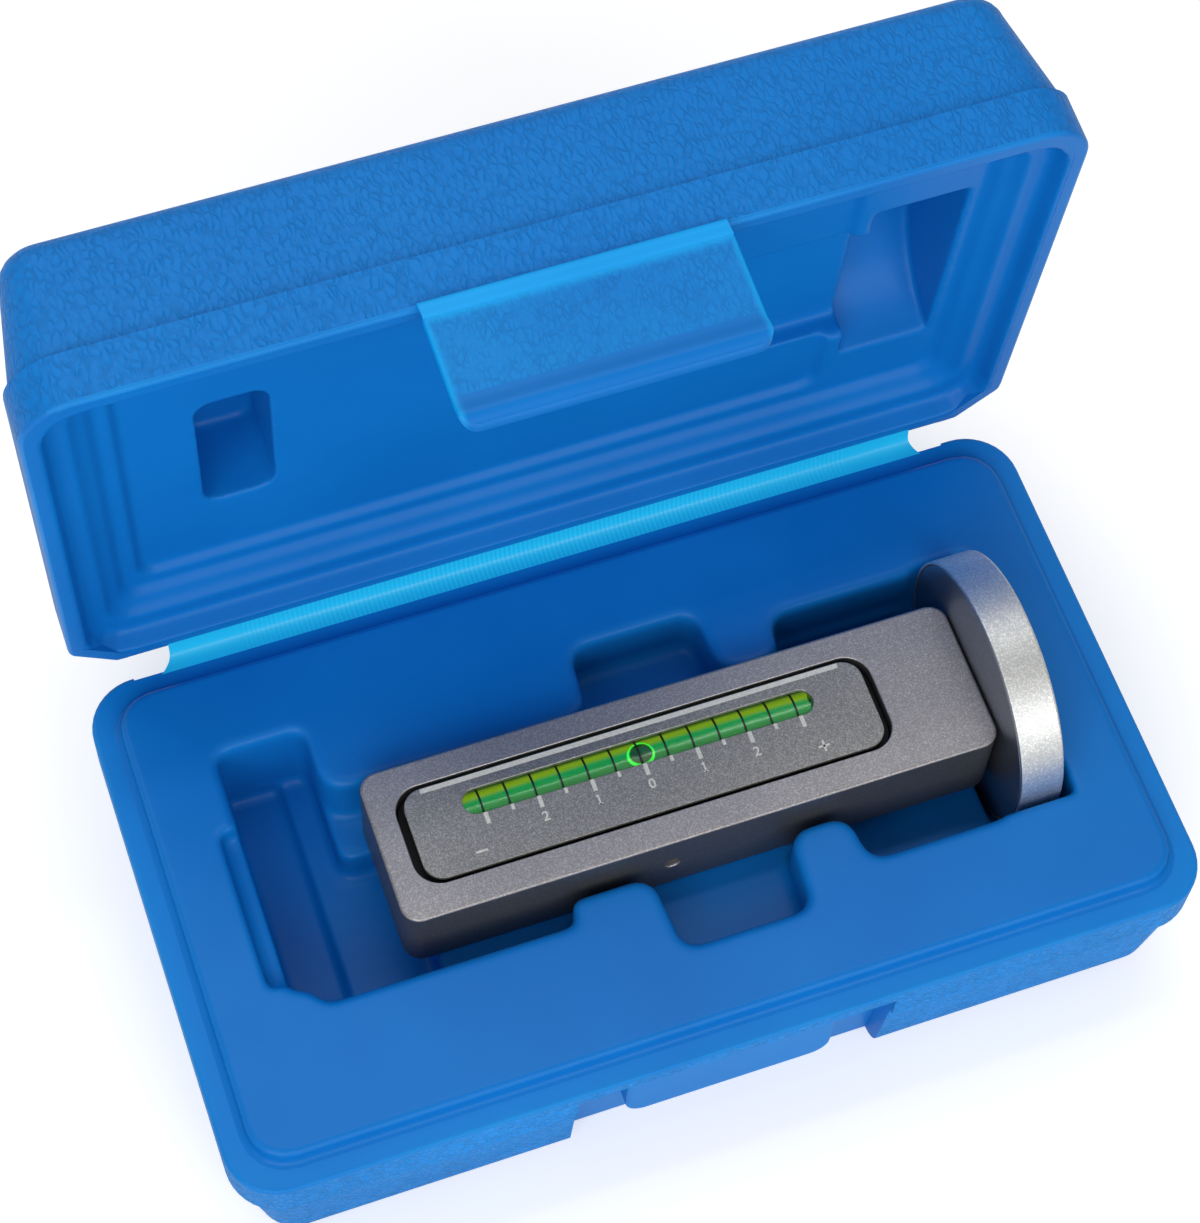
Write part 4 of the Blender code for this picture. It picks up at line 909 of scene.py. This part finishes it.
work(bar, "DIFFERENCE",
     put("pocket", loft(dial_rectangle(dial_half, dial_side, dial_y, dial_corner),
                        [(bar_top + mm, -flare), (bar_top + mm - flare, 0), (dial_floor, 0)])),
     put("hole", turned([(-mm, 0), (-mm, screw_hole + hole_edge), (0, screw_hole + hole_edge),
                         (hole_edge, screw_hole), (screw_hole_depth, screw_hole), (screw_hole_depth, 0)],
                        (dial_x, -bar_side, gauge_axis), (0, 1, 0), 48)),
     put("bore", turned([(-mm, 0), (-mm, bolt_bore), (bolt_bore_depth, bolt_bore),
                         (bolt_bore_depth + bolt_bore, 0)], (bar_right, 0, gauge_axis), (-1, 0, 0), 48)))
bar.data.materials.append(bar_grey)
bar.data.materials.append(bar_side_shade_grey)
# Painted shade: every face that doesn't face up takes the darker side grey.
for face in bar.data.polygons:
    face.material_index = 0 if face.normal.z > 0.3 else 1
smooth(bar)
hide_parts("gauge_body")
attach(bar, "case_base")

# Dial plate
# A thin anodised aluminium plate, stuck down over the vial, which shows through its round-ended
# window. Its line, scale and figures are printed in white.
plate_grey = metal_look("dial_plate_grey", (0.205, 0.201, 0.191), (0.395, 0.386, 0.363), 0.42, 0.7)
plate_half, plate_side = 43.6 * mm, 8.95 * mm
plate_foot = 41.4 * mm
plate_corner = 3.8 * mm
plate_edge = 0.15 * mm
vial_y, vial_z = 3.85 * mm, 36.5 * mm
window_half, window_side = 33.3 * mm, 2.5 * mm
window_flare = 1.1 * mm
plate = put("gauge_dial_plate", loft(dial_rectangle(plate_half, plate_side, dial_y, plate_corner),
                                     [(plate_foot, 0)] + rounding(bar_top, plate_edge)))
work(plate, "DIFFERENCE", put("window", loft(
    dial_rectangle(window_half, window_side, vial_y, window_side - 0.01 * mm),
    [(bar_top + mm, -window_flare), (bar_top + mm - window_flare, 0), (plate_foot - mm, 0)])))
smooth(plate)
plate.data.materials.append(plate_grey)
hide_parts("dial_plate")
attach(plate, "case_base")

print_height = 0.05 * mm
print_scale = 2500.0
line_left, line_right = -39.4 * mm, 40.3 * mm
line_front, line_back = 8.2 * mm, 9.12 * mm
mark_pitch = 5 * mm
mark_back = 1.25 * mm
short_front, short_half = 0.15 * mm, 0.3 * mm
long_front, long_half = -1.05 * mm, 0.38 * mm
figure_foot = -3.75 * mm
figure_size = 2.6 * mm
figure_swell = 0.045 * mm
one_stem = 0.15 * mm
one_side = 0.45 * mm
one_top = -1.85 * mm
one_flag = 0.4 * mm
one_foot = 0.18 * mm
minus_x, plus_x = -32.5 * mm, 32.3 * mm
sign_y = -5.7 * mm
sign_reach = 1.1 * mm
sign_half = 0.2 * mm
marks = bmesh.new()


def printed_look(name, first, second, roughness, start=0.0, end=1.0):
    """Printing ink, a little uneven."""
    look = new_look(name, first, roughness)
    tree = look.node_tree
    worn = ranged(tree, use_group(tree, skin, {"Cloud Scale": print_scale})["Tone"], start, end)
    paint(look, worn, first, second)
    return look


print_white = printed_look("printed_white", (0.54, 0.53, 0.48), (0.66, 0.65, 0.59), 0.55, 0.35, 0.6)


def print_bar(left, right, front, back):
    grown = bmesh.ops.create_cube(marks, size=1)["verts"]
    bmesh.ops.scale(marks, vec=(right - left, back - front, print_height * 2), verts=grown)
    bmesh.ops.translate(marks, vec=((left + right) / 2, (front + back) / 2, bar_top), verts=grown)


print_bar(line_left, line_right, line_front, line_back)
for mark in range(-6, 7):
    x = dial_x + mark * mark_pitch
    mark_front, mark_half = (short_front, short_half) if mark % 2 else (long_front, long_half)
    print_bar(x - mark_half, x + mark_half, mark_front, mark_back)
for x in (dial_x - 2 * mark_pitch, dial_x + 2 * mark_pitch):
    print_bar(x - one_stem, x + one_stem, figure_foot, one_top)
    print_bar(x - one_side, x - one_stem, one_top - one_flag, one_top - one_stem)
    print_bar(x - one_side, x + one_side, figure_foot, figure_foot + one_foot)
for x in (minus_x, plus_x):
    print_bar(x - sign_reach, x + sign_reach, sign_y - sign_half, sign_y + sign_half)
print_bar(plus_x - sign_half, plus_x + sign_half, sign_y - sign_reach, sign_y + sign_reach)
for mark, figure in ((-4, "2"), (0, "0"), (4, "2")):
    letter_data = bpy.data.curves.new("figure", "FONT")
    letter_data.body = figure
    letter_data.size = figure_size
    letter_data.extrude = print_height
    letter_data.offset = figure_swell
    letter_data.align_x = "CENTER"
    letter = bpy.data.objects.new("figure", letter_data)
    bpy.context.scene.collection.objects.link(letter)
    figure_mesh = bpy.data.meshes.new_from_object(
        letter.evaluated_get(bpy.context.evaluated_depsgraph_get()))
    bpy.data.objects.remove(letter)
    figure_mesh.transform(Matrix.Translation((dial_x + mark * mark_pitch, figure_foot, bar_top)))
    marks.from_mesh(figure_mesh)
print_piece = put("dial_print", marks, print_white)
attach(print_piece, "case_base")

# Vial
# A clear acrylic tube with printed rings and a barrel-shaped bore, filled with fluorescent
# green spirit. The bubble rides along the top of the bore.
tube_radius = 4.5 * mm
tube_half = 37.5 * mm
tube_edge = 0.2 * mm
bore = 4.15 * mm
bore_half = 33.4 * mm
end_bore = 3.0 * mm
ring_half = 0.2 * mm
ring_proud = 0.03 * mm
ring_black = printed_look("ring_black", (0.003, 0.006, 0.003), (0.012, 0.02, 0.012), 0.4)
vial_rings = bmesh.new()
for mark in range(-6, 7):
    ring = turned([(-ring_half, tube_radius), (-ring_half, tube_radius + ring_proud),
                   (ring_half, tube_radius + ring_proud), (ring_half, tube_radius)],
                  (dial_x + mark * mark_pitch, vial_y, vial_z), (1, 0, 0), 64)
    ring_mesh = bpy.data.meshes.new("ring")
    ring.to_mesh(ring_mesh)
    ring.free()
    vial_rings.from_mesh(ring_mesh)
rings = put("vial_rings", vial_rings, ring_black)
smooth(rings)
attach(rings, "case_base")

# The spirit is drawn as a painted glow: a dark base colour with strong emission.
spirit_glow_green = new_look("vial_spirit_painted_glow", (0.01, 0.07, 0.015), 0.25,
                        others={"Emission Strength": 1.0, "Specular IOR Level": 0.0})
tree = spirit_glow_green.node_tree
# Painted light and shade across the tube: a darker green at the front, a lighter green in the middle, a
# yellow-green band of painted light towards the back and a painted shadow along the back edge of the
# window.
across = made(tree, "ShaderNodeSeparateXYZ", {0: object_place(tree)}).outputs["Y"]
spirit_painted_light = (0.002, 0.120, 0.024)
for start, end, tone in ((-1.3, 0.5, (0.008, 0.245, 0.055)), (1.1, 2.25, (0.260, 0.345, 0.008)),
                         (2.3, 2.9, (0.030, 0.065, 0.010))):
    share = ranged(tree, across, vial_y + start * mm, vial_y + end * mm, soft=True)
    spirit_painted_light = mix_colours(tree, share, spirit_painted_light, tone)
tree.links.new(spirit_painted_light, shader_of(spirit_glow_green).inputs["Emission Color"])
bubble_path = 1146 * mm
spirit_radius = 4.17 * mm
spirit_level = 3.25 * mm
spirit_half = 33.3 * mm
spirit_steps = 12
track_half = 2.6 * mm
spirit_side = [(spirit_half * step / spirit_steps, spirit_radius)
               for step in range(-spirit_steps, spirit_steps + 1)]
spirit_shape = turned([(-spirit_half, 0)] + spirit_side + [(spirit_half, 0)], (0, 0, 0), (1, 0, 0), 64)
for point in spirit_shape.verts:
    if abs(point.co.y) < track_half and point.co.z > 0:
        point.co.z = min(point.co.z, spirit_level - point.co.x ** 2 / bubble_path)
bmesh.ops.translate(spirit_shape, vec=(dial_x, vial_y, vial_z), verts=spirit_shape.verts)
face_outward(spirit_shape)
liquid = put("vial_spirit", spirit_shape, spirit_glow_green)
smooth(liquid)
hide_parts("vial_liquid")
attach(liquid, "case_base")

tube_clear = new_look("vial_tube_clear", (0.75, 1.0, 0.75), 0.02,
                      others={"Transmission Weight": 1.0, "IOR": 1.49})
tree = tube_clear.node_tree
tree.links.new(ranged(tree, use_group(tree, skin)["Tone"], 0, 1, 0.16, 0.22),
               shader_of(tube_clear).inputs["Roughness"])
tube_side = [(bore_half, bore), (bore_half + 0.1 * mm, end_bore), (tube_half, end_bore),
             (tube_half, tube_radius - tube_edge), (tube_half - tube_edge, tube_radius)]
tube = put("vial_tube_clear", turned(
    tube_side + [(-along, radius) for along, radius in reversed(tube_side)],
    (dial_x, vial_y, vial_z), (1, 0, 0), 64), tube_clear)
smooth(tube)
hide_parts("vial_tube")
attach(tube, "case_base")

bubble_painted_glow = new_look("bubble_painted_glow", (0.03, 0.20, 0.04), 0.15, others={"Emission Strength": 0.9})
bubble_place = Vector((dial_x + 0.4 * mm, vial_y + 0.2 * mm, vial_z + spirit_level))
bubble_size = Vector((2.6, 2.25, 0.8)) * mm
tree = bubble_painted_glow.node_tree
# Painted light: a bright ring glows round the bubble's edge, and its middle is painted a mottled dark
# green.
apart = vector_maths(tree, "SUBTRACT", object_place(tree), bubble_place)
share = vector_maths(tree, "MULTIPLY", apart, (1 / bubble_size.x, 1 / bubble_size.y, 0))
painted_rim_glow = ranged(tree, vector_maths(tree, "LENGTH", share), 0.78, 0.88)
speck = use_group(tree, skin, {"Cloud Scale": 1500.0})["Tone"]
painted_dark_middle = mix_colours(tree, speck, (0.012, 0.08, 0.02), (0.05, 0.22, 0.05))
paint(bubble_painted_glow, painted_rim_glow, painted_dark_middle, (0.05, 0.90, 0.07))
paint(bubble_painted_glow, painted_rim_glow, (0.002, 0.012, 0.002), (0.05, 0.85, 0.06), "Emission Color")
bubble_shape = bmesh.new()
bmesh.ops.create_uvsphere(bubble_shape, u_segments=64, v_segments=32, radius=1)
bmesh.ops.scale(bubble_shape, vec=bubble_size, verts=bubble_shape.verts)
cut_level(bubble_shape, -0.03 * mm, keep_above=True)
bmesh.ops.holes_fill(bubble_shape, edges=[edge for edge in bubble_shape.edges if edge.is_boundary])
bmesh.ops.translate(bubble_shape, vec=bubble_place, verts=bubble_shape.verts)
face_outward(bubble_shape)
bubble = put("vial_bubble_clear", bubble_shape, bubble_painted_glow)
bubble.data.shade_smooth()
bubble.data.set_sharp_from_angle(angle=math.radians(40))
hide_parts("vial_bubble")
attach(bubble, "bubble")

# Magnet
# A strong ferrite ring magnet in a pressed, zinc-plated cup, with a grey plate on its back and a
# steel pole in its middle. One screw with a lock washer fixes it to the end of the bar.
magnet_back = Vector((63.6 * mm, 0, gauge_axis))
magnet_bore = 2.7
back_radius = 24.2
back_depth = 0.8
cup_radius = 25.0
cup_inside = 22.6
cup_back = 1.1
cup_floor = 2.8
cup_depth = 8.3
ferrite_back = 3.1
ferrite_face = 8.0
ferrite_bore = 11.0
ferrite_radius = 22.3
pole_radius = 10.7
pole_seat = 4.3
head_room = 5.1
head_radius = 4.5
head_back = 5.7
head_face = 7.8
shank_end = -11.5
shank_radius = 2.4
key_floor = 6.6
key_radius = 2.0
washer_back = 4.6
washer_face = 5.4
edge = 0.1
zinc_silver = metal_look("zinc_silver", (0.62, 0.63, 0.62), (0.90, 0.90, 0.88), 0.47, 1.0, 4000.0)
back_grey = metal_look("back_plate_grey", (0.36, 0.38, 0.41), (0.50, 0.52, 0.56), 0.36, 1.0)
ferrite_black = metal_look("ferrite_black", (0.018, 0.018, 0.02), (0.05, 0.05, 0.055), 0.6, 0.1)
steel_bright = metal_look("plain_steel", (0.42, 0.42, 0.42), (0.60, 0.60, 0.60), 0.3, 1.0)


def turned_piece(name, profile, look, node):
    """A piece turned from (along, radius) points in millimetres, measured from the magnet's back."""
    piece = put(name, turned([(along * mm, radius * mm) for along, radius in profile], magnet_back,
                             (1, 0, 0), 128), look)
    smooth(piece)
    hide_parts(node)
    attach(piece, "case_base")


turned_piece("magnet_rear_plate",
             [(0, magnet_bore), (0, back_radius - edge), (edge, back_radius), (back_depth, back_radius),
              (back_depth, magnet_bore)], back_grey, "magnet_back_plate")
turned_piece("magnet_steel_cup",
             [(cup_back, magnet_bore), (cup_back, cup_radius - 0.5), (0, cup_radius - 0.5),
              (0, cup_radius - 0.25), (0.07, cup_radius - 0.07), (0.25, cup_radius),
              (cup_depth - 0.45, cup_radius), (cup_depth - 0.2, cup_radius - 0.05),
              (cup_depth - 0.05, cup_radius - 0.2), (cup_depth, cup_radius - 0.45),
              (cup_depth, cup_inside + edge), (cup_depth - edge, cup_inside),
              (cup_floor, cup_inside), (cup_floor, magnet_bore)],
             zinc_silver, "magnet_cup")
turned_piece("magnet_ferrite_ring",
             [(ferrite_back, ferrite_bore), (ferrite_back, ferrite_radius),
              (ferrite_face - edge, ferrite_radius), (ferrite_face, ferrite_radius - edge),
              (ferrite_face, ferrite_bore + edge), (ferrite_face - edge, ferrite_bore)],
             ferrite_black, "ring_magnet")
turned_piece("magnet_steel_pole",
             [(ferrite_back, magnet_bore), (ferrite_back, pole_radius), (ferrite_face - edge, pole_radius),
              (ferrite_face, pole_radius - edge), (ferrite_face, head_room + edge),
              (ferrite_face - edge, head_room), (pole_seat, head_room), (pole_seat, magnet_bore)],
             zinc_silver, "magnet_pole")
turned_piece("magnet_washer",
             [(washer_back, magnet_bore), (washer_back, head_radius - edge),
              (washer_back + edge, head_radius), (washer_face - edge, head_radius),
              (washer_face, head_radius - edge), (washer_face, magnet_bore)],
             steel_bright, "magnet_lock_washer")
turned_piece("magnet_fixing_screw",
             [(shank_end, 0), (shank_end, shank_radius - 0.3), (shank_end + 0.3, shank_radius),
              (head_back, shank_radius), (head_back, head_radius - edge),
              (head_back + edge, head_radius), (head_face - 0.2, head_radius),
              (head_face, head_radius - 0.2), (head_face, key_radius + edge),
              (head_face - edge, key_radius), (key_floor, key_radius), (key_floor, 0)],
             steel_bright, "magnet_screw")

# Pieces inside the bar
# The black moulded holder that grips the vial, the clear film that holds the dial plate down,
# the plugs in the ends of the vial, and the small screw that fixes the holder from the side.
holder_black = plastic_look("holder_black", (0.004, 0.004, 0.004), (0.012, 0.011, 0.011), 0.5)
film_clear = plastic_look("film_clear", (0.55, 0.55, 0.52), (0.70, 0.70, 0.68), 0.4)
plug_clear = plastic_look("plug_clear", (0.25, 0.55, 0.28), (0.35, 0.65, 0.38), 0.2)
screw_black = metal_look("screw_black", (0.015, 0.015, 0.016), (0.05, 0.05, 0.05), 0.45, 0.7)
for node, look in (("vial_holder", holder_black), ("plate_adhesive", film_clear),
                   ("vial_plug_left", plug_clear), ("vial_plug_right", plug_clear),
                   ("holder_grub_screw", screw_black)):
    frame["nodes"][node].data.materials.clear()
    frame["nodes"][node].data.materials.append(look)
